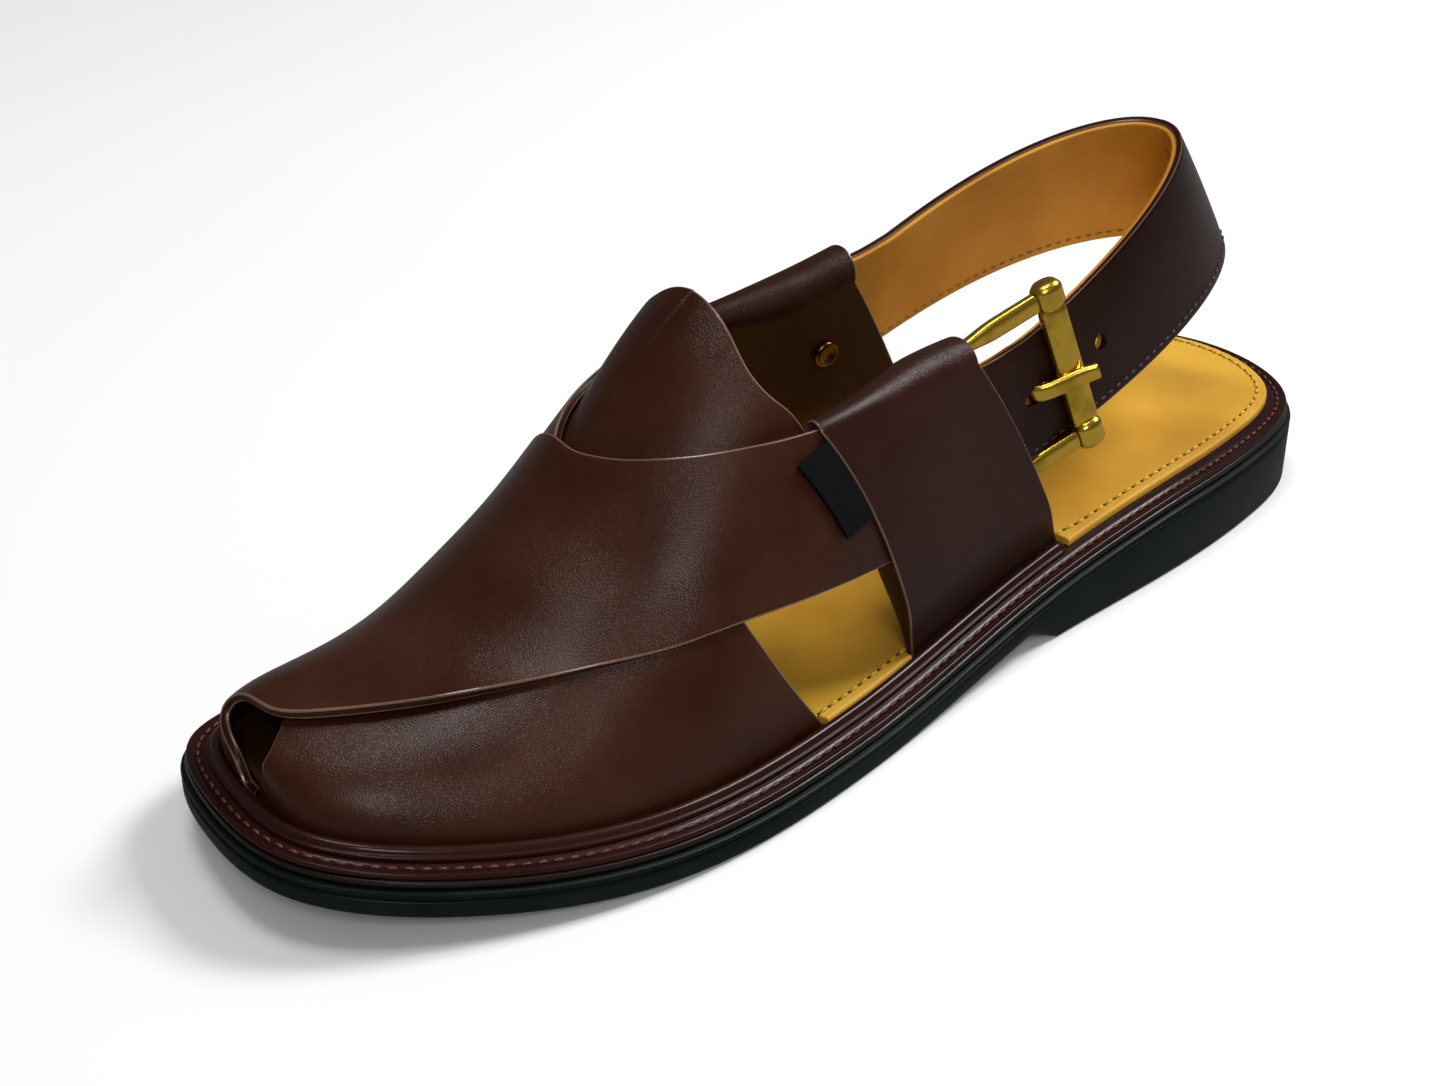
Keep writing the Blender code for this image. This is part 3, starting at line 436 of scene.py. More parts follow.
    @classmethod
    def bar(cls, name: str, path: Points, side: Points, normal: Points, half: Points,
            power: float = 2.0, closed: bool = False, around: int = 24) -> bpy.types.Object:
        """Lofts a bar along a path.

        Args:
            name: The piece's name.
            path: Points of its middle line.
            side: Unit vectors across the bar.
            normal: Unit vectors through its thickness.
            half: Half sizes along side and normal, one row for each point.
            power: 2 for a round section, more for a squarer one.
            closed: Whether the path comes back to its start.
            around: How many faces lie round the bar.

        Returns:
            The closed piece.
        """
        path, side, normal, half = (np.asarray(part, float) for part in (path, side, normal, half))
        half = np.broadcast_to(half, (len(path), 2))
        if not closed:
            bulge = float(half[0].min()) * 0.35, float(half[-1].min()) * 0.35
            first, last = unit(path[0] - path[1]), unit(path[-1] - path[-2])
            path = np.vstack([path[0] + first * bulge[0], path[0] + first * bulge[0] * 0.8, path,
                              path[-1] + last * bulge[1] * 0.8, path[-1] + last * bulge[1]])
            side, normal = (np.vstack([part[:1], part[:1], part, part[-1:], part[-1:]])
                            for part in (side, normal))
            half = np.vstack([half[:1] * 0.0, half[:1] * 0.8, half, half[-1:] * 0.8, half[-1:] * 0.0])
        rows = len(path)

        def place(u: Points, v: Points) -> Points:
            row = np.rint(u * (rows if closed else rows - 1)).astype(int) % rows
            angle = 2.0 * math.pi * np.mod(v, 1.0)
            across = np.sign(np.cos(angle)) * np.abs(np.cos(angle)) ** (2.0 / power)
            through = np.sign(np.sin(angle)) * np.abs(np.sin(angle)) ** (2.0 / power)
            across, through = across * half[row, 0], through * half[row, 1]
            return path[row] + side[row] * across[:, None] + normal[row] * through[:, None]

        return cls.sheet(name, (rows if closed else rows - 1, around), place, closed=True)


class Nodes:
    """Builds the node tree of one material or group."""

    def __init__(self, tree: bpy.types.NodeTree) -> None:
        """Keeps the tree that nodes go to."""
        self.tree = tree

    def add(self, kind: str, inputs: dict[object, object] | None = None,
            **settings: object) -> bpy.types.Node:
        """Adds a node, with values or links for its inputs and settings for itself."""
        node = self.tree.nodes.new(kind)
        for key, value in settings.items():
            setattr(node, key, value)
        for key, value in (inputs or {}).items():
            socket = node.inputs[key]
            if isinstance(value, bpy.types.NodeSocket):
                self.tree.links.new(value, socket)
            else:
                socket.default_value = value
        return node

    def group(self, tree: bpy.types.NodeTree, inputs: dict[str, object]) -> bpy.types.Node:
        """Places a node group with its values."""
        node = self.tree.nodes.new("ShaderNodeGroup")
        node.node_tree = tree
        for key, value in inputs.items():
            if isinstance(value, bpy.types.NodeSocket):
                self.tree.links.new(value, node.inputs[key])
            else:
                node.inputs[key].default_value = value
        return node

    def math(self, operation: str, first: object, second: object = 0.0) -> bpy.types.NodeSocket:
        """A Math node's result."""
        return self.add("ShaderNodeMath", {0: first, 1: second}, operation=operation).outputs[0]

    def mix(self, factor: object, first: object, second: object,
            blend: str = "MIX") -> bpy.types.NodeSocket:
        """A colour mix's result."""
        node = self.add("ShaderNodeMix", {"Factor": factor}, data_type="RGBA", blend_type=blend)
        for key, value in ((6, first), (7, second)):
            if isinstance(value, bpy.types.NodeSocket):
                self.tree.links.new(value, node.inputs[key])
            else:
                node.inputs[key].default_value = value
        return node.outputs[2]

    def spread(self, value: object, low: float, high: float, to_low: float = 0.0,
               to_high: float = 1.0) -> bpy.types.NodeSocket:
        """A Map Range node's result, held within its ends."""
        inputs = {"Value": value, "From Min": low, "From Max": high, "To Min": to_low,
                  "To Max": to_high}
        return self.add("ShaderNodeMapRange", inputs).outputs[0]


def rgba(colour: Colour) -> tuple[float, float, float, float]:
    """A colour with its alpha."""
    return (*colour, 1.0)


class Effects:
    """Node groups that more than one finish uses, each built once."""

    made: dict[str, bpy.types.NodeTree] = {}

    @classmethod
    def start(cls, name: str, inputs: dict[str, str], outputs: dict[str, str]) -> tuple[Nodes, dict, dict]:
        """Begins a group with its sockets.

        Returns:
            The tree's builder, its input sockets by name and the output node's inputs by name.
        """
        tree = bpy.data.node_groups.new(name, "ShaderNodeTree")
        for way, sockets in (("INPUT", inputs), ("OUTPUT", outputs)):
            for key, kind in sockets.items():
                tree.interface.new_socket(name=key, in_out=way, socket_type="NodeSocket" + kind)
        entry = tree.nodes.new("NodeGroupInput")
        leave = tree.nodes.new("NodeGroupOutput")
        cls.made[name] = tree
        return Nodes(tree), dict(entry.outputs.items()), dict(leave.inputs.items())

    @classmethod
    def grain(cls) -> bpy.types.NodeTree:
        """Pebbled leather: small cells with soft furrows, deeper in some places than in others."""
        if "leather_grain" in cls.made:
            return cls.made["leather_grain"]
        nodes, given, out = cls.start(
            "leather_grain", {"Vector": "Vector", "Cells": "Float", "Patches": "Float"},
            {"Height": "Float", "Furrows": "Float"})
        warp = nodes.add("ShaderNodeTexNoise", {"Vector": given["Vector"], "Scale": 420.0,
                                                "Detail": 2.0})
        bent = nodes.add("ShaderNodeVectorMath", {0: warp.outputs["Color"], 1: (0.0006,) * 3},
                         operation="MULTIPLY")
        moved = nodes.add("ShaderNodeVectorMath", {0: given["Vector"], 1: bent.outputs[0]},
                          operation="ADD")
        cells = nodes.add("ShaderNodeTexVoronoi", {"Vector": moved.outputs[0],
                                                   "Scale": given["Cells"]},
                          feature="DISTANCE_TO_EDGE")
        pebbles = nodes.spread(cells.outputs["Distance"], 0.0, 0.28)
        fine = nodes.add("ShaderNodeTexNoise", {"Vector": given["Vector"], "Scale": 2600.0,
                                                "Detail": 2.0})
        patches = nodes.add("ShaderNodeTexNoise", {"Vector": given["Vector"],
                                                   "Scale": given["Patches"], "Detail": 3.0})
        depth = nodes.spread(patches.outputs["Fac"], 0.34, 0.66, 0.35, 1.0)
        body = nodes.math("MULTIPLY", pebbles, depth)
        dust = nodes.math("MULTIPLY", fine.outputs["Fac"], 0.35)
        nodes.tree.links.new(nodes.math("ADD", body, dust), out["Height"])
        nodes.tree.links.new(nodes.math("MULTIPLY", nodes.math("SUBTRACT", 1.0, pebbles), depth),
                             out["Furrows"])
        return nodes.tree

    @classmethod
    def tone(cls) -> bpy.types.NodeTree:
        """A colour that drifts between two tones in soft clouds."""
        if "tone_drift" in cls.made:
            return cls.made["tone_drift"]
        nodes, given, out = cls.start(
            "tone_drift", {"Vector": "Vector", "Scale": "Float", "First": "Color",
                           "Second": "Color"}, {"Color": "Color", "Cloud": "Float"})
        cloud = nodes.add("ShaderNodeTexNoise", {"Vector": given["Vector"],
                                                 "Scale": given["Scale"], "Detail": 4.0,
                                                 "Roughness": 0.55})
        share = nodes.spread(cloud.outputs["Fac"], 0.36, 0.64)
        nodes.tree.links.new(nodes.mix(share, given["First"], given["Second"]), out["Color"])
        nodes.tree.links.new(share, out["Cloud"])
        return nodes.tree


@dataclass(frozen=True)
class Finish:
    """A finish with its name. Subclasses say how it is built."""

    name: str

    def start(self) -> tuple[bpy.types.Material, Nodes, bpy.types.Node, bpy.types.NodeSocket]:
        """Begins a material: its tree's builder, its shader and its object coordinates."""
        material = bpy.data.materials.new(self.name)
        material.use_nodes = True
        nodes = Nodes(material.node_tree)
        shader = material.node_tree.nodes["Principled BSDF"]
        place = nodes.add("ShaderNodeTexCoord").outputs["Object"]
        return material, nodes, shader, place

    def bump(self, nodes: Nodes, shader: bpy.types.Node, height: bpy.types.NodeSocket,
             depth: float) -> None:
        """Puts a relief of this depth on the shader."""
        relief = nodes.add("ShaderNodeBump", {"Strength": 1.0, "Distance": depth,
                                              "Height": height})
        nodes.tree.links.new(relief.outputs["Normal"], shader.inputs["Normal"])


@dataclass(frozen=True)
class Leather(Finish):
    """Polished or natural leather with its grain; the grain's furrows are painted darker as painted shade, and
    an optional band along Y is painted dark as shade under the toe.
    """

    deep: Colour = (0.029, 0.0066, 0.0020)
    light: Colour = (0.052, 0.0145, 0.0052)
    drift: float = 28.0
    roughness: float = 0.31
    rough_drift: float = 0.04
    cells: float = 1900.0
    depth: float = 0.000032
    patches: float = 55.0
    specular: float = 0.24
    coat: float = 0.0
    coat_roughness: float = 0.12
    painted_furrow_shade: float = 0.35
    painted_toe_shade: tuple[float, float] | None = None

    def material(self) -> bpy.types.Material:
        """Builds the material."""
        material, nodes, shader, place = self.start()
        tone = nodes.group(Effects.tone(), {"Vector": place, "Scale": self.drift,
                                            "First": rgba(self.deep), "Second": rgba(self.light)})
        grain = nodes.group(Effects.grain(), {"Vector": place, "Cells": self.cells,
                                              "Patches": self.patches})
        # Painted shade: the grain's furrows are darkened towards a deeper tone of the leather, standing in for
        # the shade in its creases.
        furrows = nodes.math("MULTIPLY", grain.outputs["Furrows"], self.painted_furrow_shade)
        colour = nodes.mix(furrows, tone.outputs["Color"], rgba(tuple(0.45 * c for c in self.deep)))
        # Painted shade: a band along Y is darkened almost to black, standing in for the shade on the insole
        # under the toe strap.
        if self.painted_toe_shade:
            y = nodes.add("ShaderNodeSeparateXYZ", {0: place}).outputs["Y"]
            start, end = self.painted_toe_shade
            under = nodes.math("MULTIPLY", nodes.spread(y, start, start + 0.010),
                               nodes.spread(y, end, end - 0.004))
            colour = nodes.mix(under, colour, rgba(tuple(0.05 * c for c in self.deep)))
        nodes.tree.links.new(colour, shader.inputs["Base Color"])
        rough = nodes.spread(tone.outputs["Cloud"], 0.0, 1.0, self.roughness - self.rough_drift,
                             self.roughness + self.rough_drift)
        nodes.tree.links.new(rough, shader.inputs["Roughness"])
        shader.inputs["Specular IOR Level"].default_value = self.specular
        shader.inputs["Coat Weight"].default_value = self.coat
        shader.inputs["Coat Roughness"].default_value = self.coat_roughness
        self.bump(nodes, shader, grain.outputs["Height"], self.depth)
        return material


@dataclass(frozen=True)
class Rubber(Finish):
    """Moulded rubber with a fine matt skin."""

    deep: Colour = (0.0030, 0.0052, 0.0056)
    light: Colour = (0.0060, 0.0100, 0.0105)
    roughness: float = 0.38

    def material(self) -> bpy.types.Material:
        """Builds the material."""
        material, nodes, shader, place = self.start()
        tone = nodes.group(Effects.tone(), {"Vector": place, "Scale": 40.0,
                                            "First": rgba(self.deep), "Second": rgba(self.light)})
        nodes.tree.links.new(tone.outputs["Color"], shader.inputs["Base Color"])
        rough = nodes.spread(tone.outputs["Cloud"], 0.0, 1.0, self.roughness - 0.06,
                             self.roughness + 0.08)
        nodes.tree.links.new(rough, shader.inputs["Roughness"])
        shader.inputs["Specular IOR Level"].default_value = 0.12
        skin = nodes.add("ShaderNodeTexNoise", {"Vector": place, "Scale": 1800.0, "Detail": 3.0})
        self.bump(nodes, shader, skin.outputs["Fac"], 0.00004)
        return material


@dataclass(frozen=True)
class Brass(Finish):
    """Cast brass, polished, with darker worn places."""

    bright: Colour = (0.92, 0.58, 0.070)
    worn: Colour = (0.42, 0.24, 0.018)

    def material(self) -> bpy.types.Material:
        """Builds the material."""
        material, nodes, shader, place = self.start()
        cloud = nodes.add("ShaderNodeTexNoise", {"Vector": place, "Scale": 130.0, "Detail": 4.0,
                                                 "Roughness": 0.5})
        share = nodes.spread(cloud.outputs["Fac"], 0.48, 0.72, 0.0, 0.8)
        nodes.tree.links.new(nodes.mix(share, rgba(self.bright), rgba(self.worn)),
                             shader.inputs["Base Color"])
        nodes.tree.links.new(nodes.spread(cloud.outputs["Fac"], 0.40, 0.75, 0.20, 0.34),
                             shader.inputs["Roughness"])
        shader.inputs["Metallic"].default_value = 1.0
        dents = nodes.add("ShaderNodeTexNoise", {"Vector": place, "Scale": 500.0, "Detail": 2.0})
        self.bump(nodes, shader, dents.outputs["Fac"], 0.000006)
        return material


@dataclass(frozen=True)
class Thread(Finish):
    """Waxed thread with a twist."""

    deep: Colour = (0.05, 0.008, 0.006)
    light: Colour = (0.11, 0.02, 0.016)
    roughness: float = 0.42

    def material(self) -> bpy.types.Material:
        """Builds the material."""
        material, nodes, shader, place = self.start()
        twist = nodes.add("ShaderNodeTexNoise", {"Vector": place, "Scale": 3200.0, "Detail": 2.0})
        share = nodes.spread(twist.outputs["Fac"], 0.35, 0.65)
        nodes.tree.links.new(nodes.mix(share, rgba(self.deep), rgba(self.light)),
                             shader.inputs["Base Color"])
        shader.inputs["Roughness"].default_value = self.roughness
        self.bump(nodes, shader, twist.outputs["Fac"], 0.00012)
        return material


@dataclass(frozen=True)
class Weave(Finish):
    """A tightly woven ribbon, read from its UV map, its thread crowns painted lighter than the dips as painted
    shade.
    """

    colour: Colour = (0.0014, 0.0021, 0.0032)
    light: Colour = (0.0050, 0.0068, 0.0090)
    threads: tuple[float, float] = (46.0, 20.0)

    def material(self) -> bpy.types.Material:
        """Builds the material."""
        material, nodes, shader, _ = self.start()
        flat = nodes.add("ShaderNodeTexCoord").outputs["UV"]
        split = nodes.add("ShaderNodeSeparateXYZ", {0: flat})
        waves = []
        for axis, count in zip((0, 1), self.threads):
            turned = nodes.math("MULTIPLY", split.outputs[axis], count * math.pi)
            waves.append(nodes.math("ABSOLUTE", nodes.math("SINE", turned)))
        height = nodes.math("MULTIPLY", waves[0], waves[1])
        # Painted shade: the thread crowns are lighter and the dips between them darker, as painted shade in the
        # weave.
        nodes.tree.links.new(nodes.mix(height, rgba(self.colour), rgba(self.light)),
                             shader.inputs["Base Color"])
        shader.inputs["Roughness"].default_value = 0.72
        shader.inputs["Specular IOR Level"].default_value = 0.08
        self.bump(nodes, shader, height, 0.00012)
        return material


@dataclass(frozen=True)
class Ground(Finish):
    """The pale floor: darker in the shoe's reflections, and a white backdrop far away."""

    colour: Colour = (0.92, 0.92, 0.92)
    reflected: Colour = (0.24, 0.24, 0.24)
    backdrop: tuple[float, float] = (0.7, 2.4)

    def material(self) -> bpy.types.Material:
        """Builds the material."""
        material, nodes, shader, place = self.start()
        cloud = nodes.add("ShaderNodeTexNoise", {"Vector": place, "Scale": 3.0, "Detail": 2.0})
        share = nodes.spread(cloud.outputs["Fac"], 0.3, 0.7)
        pale = nodes.mix(share, rgba(self.colour), rgba(tuple(0.985 * c for c in self.colour)))
        rays = nodes.add("ShaderNodeLightPath").outputs
        nodes.tree.links.new(nodes.mix(rays["Is Glossy Ray"], pale, rgba(self.reflected)),
                             shader.inputs["Base Color"])
        away = nodes.add("ShaderNodeVectorMath", {0: place}, operation="LENGTH").outputs["Value"]
        far = nodes.math("MULTIPLY", nodes.spread(away, *self.backdrop), rays["Is Camera Ray"])
        nodes.tree.links.new(far, shader.inputs["Emission Strength"])
        shader.inputs["Emission Color"].default_value = (1.0, 1.0, 1.0, 1.0)
        shader.inputs["Roughness"].default_value = 0.9
        shader.inputs["Specular IOR Level"].default_value = 0.1
        return material


UPPER_LEATHER = Leather("upper_leather_finish")
TONGUE_LEATHER = Leather("tongue_leather_finish", cells=2000.0, depth=0.000035)
QUARTER_LEATHER = Leather("quarter_leather_finish", roughness=0.34, specular=0.20,
                          deep=(0.020, 0.0048, 0.0026), light=(0.034, 0.0090, 0.0052))
STRAP_LEATHER = Leather("strap_leather_finish", roughness=0.29, depth=0.00003, specular=0.18,
                        deep=(0.012, 0.0030, 0.0012), light=(0.021, 0.0060, 0.0030))
EDGE_PAINT = Leather("edge_paint_finish", roughness=0.28, depth=0.00001, specular=0.15,
                     deep=(0.020, 0.0055, 0.0028), light=(0.036, 0.011, 0.006))
# Painted highlight: a pale finish on the rounded cut edges, standing in for the thin highlight along them.
EDGE_HIGHLIGHT = Leather("edge_painted_highlight_finish", roughness=0.28, depth=0.00001, specular=0.5, coat=0.4,
                    deep=(0.120, 0.052, 0.030), light=(0.220, 0.110, 0.070))
RAND_LEATHER = Leather("rand_leather_finish", roughness=0.24, depth=0.000004, specular=0.12,
                       coat=0.14, coat_roughness=0.07,
                       deep=(0.020, 0.0050, 0.0034), light=(0.034, 0.0096, 0.0068))
WELT_LEATHER = Leather("welt_leather_finish", roughness=0.26, depth=0.00001, specular=0.12,
                       coat=0.10, coat_roughness=0.10,
                       deep=(0.015, 0.0034, 0.0026), light=(0.027, 0.0068, 0.0052))
BOARD = Leather("midsole_board_finish", roughness=0.34, depth=0.00002, specular=0.3,
                deep=(0.008, 0.0028, 0.0024), light=(0.015, 0.0052, 0.0045))
# The insole is painted dark in a band near the toe, as painted shade under the straps.
INSOLE_LEATHER = Leather("insole_leather_finish", painted_toe_shade=(0.095, 0.1395), deep=(0.54, 0.262, 0.020),
                         light=(0.72, 0.400, 0.036), drift=18.0, roughness=0.46, cells=1500.0,
                         depth=0.00003, specular=0.3, painted_furrow_shade=0.06)
LINING_LEATHER = Leather("lining_leather_finish", deep=(0.48, 0.195, 0.013),
                         light=(0.66, 0.305, 0.032), drift=26.0, roughness=0.52, cells=1100.0,
                         depth=0.00005, specular=0.25, painted_furrow_shade=0.10)
OUTSOLE_RUBBER = Rubber("outsole_rubber_finish")
BUCKLE_BRASS = Brass("buckle_brass_finish")
EYELET_BRASS = Brass("eyelet_brass_finish", bright=(0.20, 0.115, 0.030), worn=(0.060, 0.034, 0.012))
WELT_THREAD = Thread("welt_thread_finish")
INSOLE_THREAD = Thread("insole_thread_finish", deep=(0.52, 0.30, 0.010), light=(0.80, 0.50, 0.025),
                       roughness=0.5)
LINING_THREAD = Thread("lining_thread_finish", deep=(0.26, 0.115, 0.014), light=(0.38, 0.18, 0.03),
                       roughness=0.6)
STRAP_THREAD = Thread("strap_thread_finish", deep=(0.018, 0.007, 0.008), light=(0.045, 0.018, 0.020))
# Painted shade for the insole's needle holes.
NEEDLE_HOLE_SHADE = Thread("needle_hole_painted_shade_finish", deep=(0.055, 0.022, 0.003), light=(0.10, 0.045, 0.006),
              roughness=0.8)
TAB_CLOTH = Weave("side_tab_cloth_finish")
FLOOR = Ground("floor_finish")


class Wardrobe:
    """Makes each finish once and puts it on the pieces."""

    def __init__(self) -> None:
        """Starts with no finish made."""
        self.made: dict[str, bpy.types.Material] = {}

    def material(self, finish: Finish) -> bpy.types.Material:
        """The material of a finish."""
        if finish.name not in self.made:
            self.made[finish.name] = finish.material()
        return self.made[finish.name]

    def dress(self, thing: bpy.types.Object, finish: Finish, slot: str, *replaced: str,
              edges: Sequence[Finish] = ()) -> None:
        """Finishes a piece and ties it to the shoe.

        Args:
            thing: The piece.
            finish: What it is made of.
            slot: The record's material slot; not used.
            replaced: The CAD nodes that it stands for.
            edges: The finishes of its cut edges and of their rounding, where they differ; on the leather pieces
                the rounding's finish is a painted edge highlight.
        """
        slots = thing.data.materials
        parts = [finish, *edges]
        while len(slots) < len(parts):
            slots.append(None)
        for index in range(len(slots)):
            slots[index] = self.material(parts[index] if index < len(parts) else finish)
        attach(thing, BODY)
        if replaced:
            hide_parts(*replaced)
        LOG.info("%s: %d faces", thing.name, len(thing.data.polygons))


@dataclass
class Stitches:
    """A row of stitches along a line on a surface."""

    pitch: float
    length: float
    thickness: float
    sink: float = 0.3

    def spots(self, line: Points, normal: Points, lead: float = 0.5) -> list[Matrix]:
        """Places along a line at every pitch.

        Args:
            line: Points of the line, close together.
            normal: The surface's unit normal at each.
            lead: Share of a pitch before the first one.

        Returns:
            One matrix each, with X along the line and Z out of the surface.
        """
        walked = np.concatenate([[0.0], np.cumsum(np.linalg.norm(np.diff(line, axis=0), axis=1))])
        count = int(walked[-1] / self.pitch)
        at = (np.arange(count) + lead) * walked[-1] / max(count, 1)
        spots = np.column_stack([np.interp(at, walked, line[:, i]) for i in range(3)])
        up = unit(np.column_stack([np.interp(at, walked, normal[:, i]) for i in range(3)]))
        step = self.pitch / 4.0
        ahead, behind = (np.column_stack([np.interp(at + way, walked, line[:, i]) for i in range(3)])
                         for way in (step, -step))
        run = unit(ahead - behind)
        across = unit(np.cross(up, run))
        up = np.cross(run, across)
        places = []
        for i in range(count):
            turn = Matrix((run[i], across[i], up[i])).transposed().to_4x4()
            places.append(Matrix.Translation(Vector(spots[i])) @ turn)
        return places

    def sew(self, name: str, places: Sequence[Matrix]) -> bpy.types.Object:
        """Makes one stitch and copies it to each place."""
        Bench.clear()
        bpy.ops.mesh.primitive_uv_sphere_add(segments=8, ring_count=6, radius=0.5)
        model = bpy.context.object
        spots = Bench.points(model)[:, [2, 0, 1]]
        spots[:, 2] -= 0.35 * spots[:, 0] ** 2 * 2.0 - self.sink * 0.5
        Bench.move(model, spots * (self.length, self.thickness, self.thickness))
        Bench.smooth(model, 180.0)
        row = Bench.copies(name, model, places)
        Bench.edit(row, lambda: bpy.ops.mesh.normals_make_consistent(inside=False))
        return row


@dataclass
class Sole:
    """Outsole, midsole board, stitched welt, rand and insole."""

    form: SoleForm
    foot: FootForm
    wardrobe: Wardrobe
    rungs: int = 150
    edge_round: float = 0.0006
    lip: float = 0.0011
    lip_groove: float = 0.0007
    groove_depth: float = 0.0006
    midsole_inset: float = 0.0010
    welt_inset: float = 0.0014
    welt_width: float = 0.0120
    channel_inset: float = 0.0036
    rand_height: float = 0.0021
    rand_end: float = 0.352
    insole_thickness: float = 0.0016
    heel_insole_inset: float = 0.0063
    thread_inset: float = 0.0025
    stitch_end: float = 0.88
    quarter_foot: tuple[float, float] = (0.352, 0.518)
    inner_shift: float = 0.0060
    strap_rears: tuple[float, float] = (0.618, 0.630)

    def build(self) -> None:
        """Builds the layers from the floor up."""
        self.outsole()
        self.midsole()
        self.welt()
        self.rand()
        self.insole()
        self.welt_stitches()
        self.insole_stitches()

    def stations(self, extra: Sequence[float] = ()) -> Points:
        """Stations from heel to toe, close together at both ends and at the extra ones."""
        regular = 0.5 - 0.5 * np.cos(np.linspace(0.0, math.pi, self.rungs + 1))
        extra = np.array([*self.form.breast, *extra])
        near = np.abs(regular[:, None] - extra[None, :]).min(axis=1) < 0.001
        return self.form.station(np.sort(np.concatenate([regular[~near], extra])))

    def plate(self, name: str, stations: Points, levels: Sequence[tuple[object, Height]],
              across: int) -> bpy.types.Object:
        """Lofts a layer from cross-sections.

        Args:
            name: The piece's name.
            stations: Y of each cross-section.
            levels: Inset and height from the lowest to the highest; an inset may be a pair of
                arrays, for the outer and the inner side.
            across: How many rows of points lie across its top and its underside.

        Returns:
            The closed piece.
        """
        sides = []
        for side in Side:
            rows = []
            for inset, height in levels:
                plan = self.form.edge(side, stations, inset[side.value] if isinstance(inset, tuple) else inset)
                rows.append(np.column_stack([plan, height(plan[:, 1])]))
            sides.append(np.array(rows))
        shares = np.linspace(0.0, 1.0, across + 2)[1:-1, None, None]
        top = sides[0][-1] * (1.0 - shares) + sides[1][-1] * shares
        below = sides[1][0] * (1.0 - shares) + sides[0][0] * shares
        loop = np.vstack([sides[0], top, sides[1][::-1], below])
        count, rows = len(loop), len(stations)

        def place(u: Points, v: Points) -> Points:
            row = np.rint(u * (rows - 1)).astype(int)
            return loop[np.rint(v * count).astype(int) % count, row]

        return Bench.sheet(name, (rows - 1, count), place, closed=True)

    def outsole(self) -> None:
        """Black rubber with a lip along its top and a heel block."""
        form = self.form
        top, tread = form.outsole_top, form.tread
        under_lip = self.lip + self.lip_groove
        levels = [
            (self.edge_round * 1.6, tread),
            (self.edge_round * 0.6, above(tread, self.edge_round * 0.25)),
            (self.edge_round * 0.15, above(tread, self.edge_round * 0.8)),
            (0.0, above(tread, self.edge_round * 1.8)),
            (0.0, above(top, -under_lip - self.groove_depth)),
            (self.groove_depth * 0.35, above(top, -under_lip - self.groove_depth * 0.3)),
            (self.groove_depth, above(top, -under_lip)),
            (self.groove_depth, above(top, -self.lip)),
            (self.groove_depth * 0.25, above(top, -self.lip + self.groove_depth * 0.2)),
            (0.0, above(top, -self.lip * 0.6)),
            (self.groove_depth * 0.2, above(top, -self.lip * 0.18)),
            (self.groove_depth * 0.9, top),
        ]
        thing = self.plate("outsole_rubber", self.stations(), levels, 6)
        Bench.smooth(thing, 50.0)
        self.wardrobe.dress(thing, OUTSOLE_RUBBER, "rubber", "outsole")

    def midsole(self) -> None:
        """The board between rubber and welt, its edge slightly crowned."""
        form, inset = self.form, self.midsole_inset
        floor, rise = form.midsole_floor, form.midsole
        levels = [
            (inset + 0.0003, floor),
            (inset, above(floor, rise * 0.3)),
            (inset, above(floor, rise * 0.7)),
            (inset + 0.0003, above(floor, rise)),
        ]
        thing = self.plate("midsole_board", self.stations(), levels, 4)
        Bench.smooth(thing, 60.0)
        self.wardrobe.dress(thing, BOARD, "board", "midsole")

    def ring(self, name: str, profile: Sequence[tuple[float, float]], level: Height,
             cells: int = 560) -> bpy.types.Object:
        """A closed strip all round, from a profile of inset and height above a level."""
        profile = np.array(profile)
        count = len(profile)

        def place(u: Points, v: Points) -> Points:
            row = profile[np.rint(v * count).astype(int) % count]
            plan = self.form.around(u, row[:, 0])
            return np.column_stack([plan, level(plan[:, 1]) + row[:, 1]])

        return Bench.sheet(name, (cells, count), place, closed=True)

    def welt(self) -> None:
        """The strip that carries the stitches, with a rolled edge and a sewn channel."""
        edge, rise, channel = self.welt_inset, self.form.welt, self.channel_inset
        inner = edge + self.welt_width
        profile = [
            (inner, 0.0), (edge + 0.0002, 0.0), (edge, 0.0002), (edge, rise - 0.0004),
            (edge + 0.00010, rise - 0.00016), (edge + 0.00032, rise - 0.00002),
            (edge + 0.00060, rise), (channel - 0.00095, rise - 0.00002),
            (channel - 0.00075, rise - 0.00014), (channel - 0.00045, rise - 0.00034),
            (channel, rise - 0.00040), (channel + 0.00045, rise - 0.00034),
            (channel + 0.00075, rise - 0.00014), (channel + 0.00095, rise - 0.00002),
            (inner, rise),
        ]
        thing = self.ring("welt_strip", profile, self.form.welt_floor)
        Bench.smooth(thing, 60.0)
        self.wardrobe.dress(thing, WELT_LEATHER, "leather", "welt")

    def share_of(self, along: float, side: Side) -> float:
        """Share of the way round at which one side passes a place along the sole."""
        loop = self.form.loop
        toe = int(loop[:, 1].argmax())
        station = self.form.station(along)
        if side is Side.OUTER:
            return float(np.interp(station, loop[: toe + 1, 1], np.arange(toe + 1))) / len(loop)
        back = loop[toe:][::-1]
        return 1.0 - float(np.interp(station, back[:, 1], np.arange(1, len(back) + 1))) / len(loop)

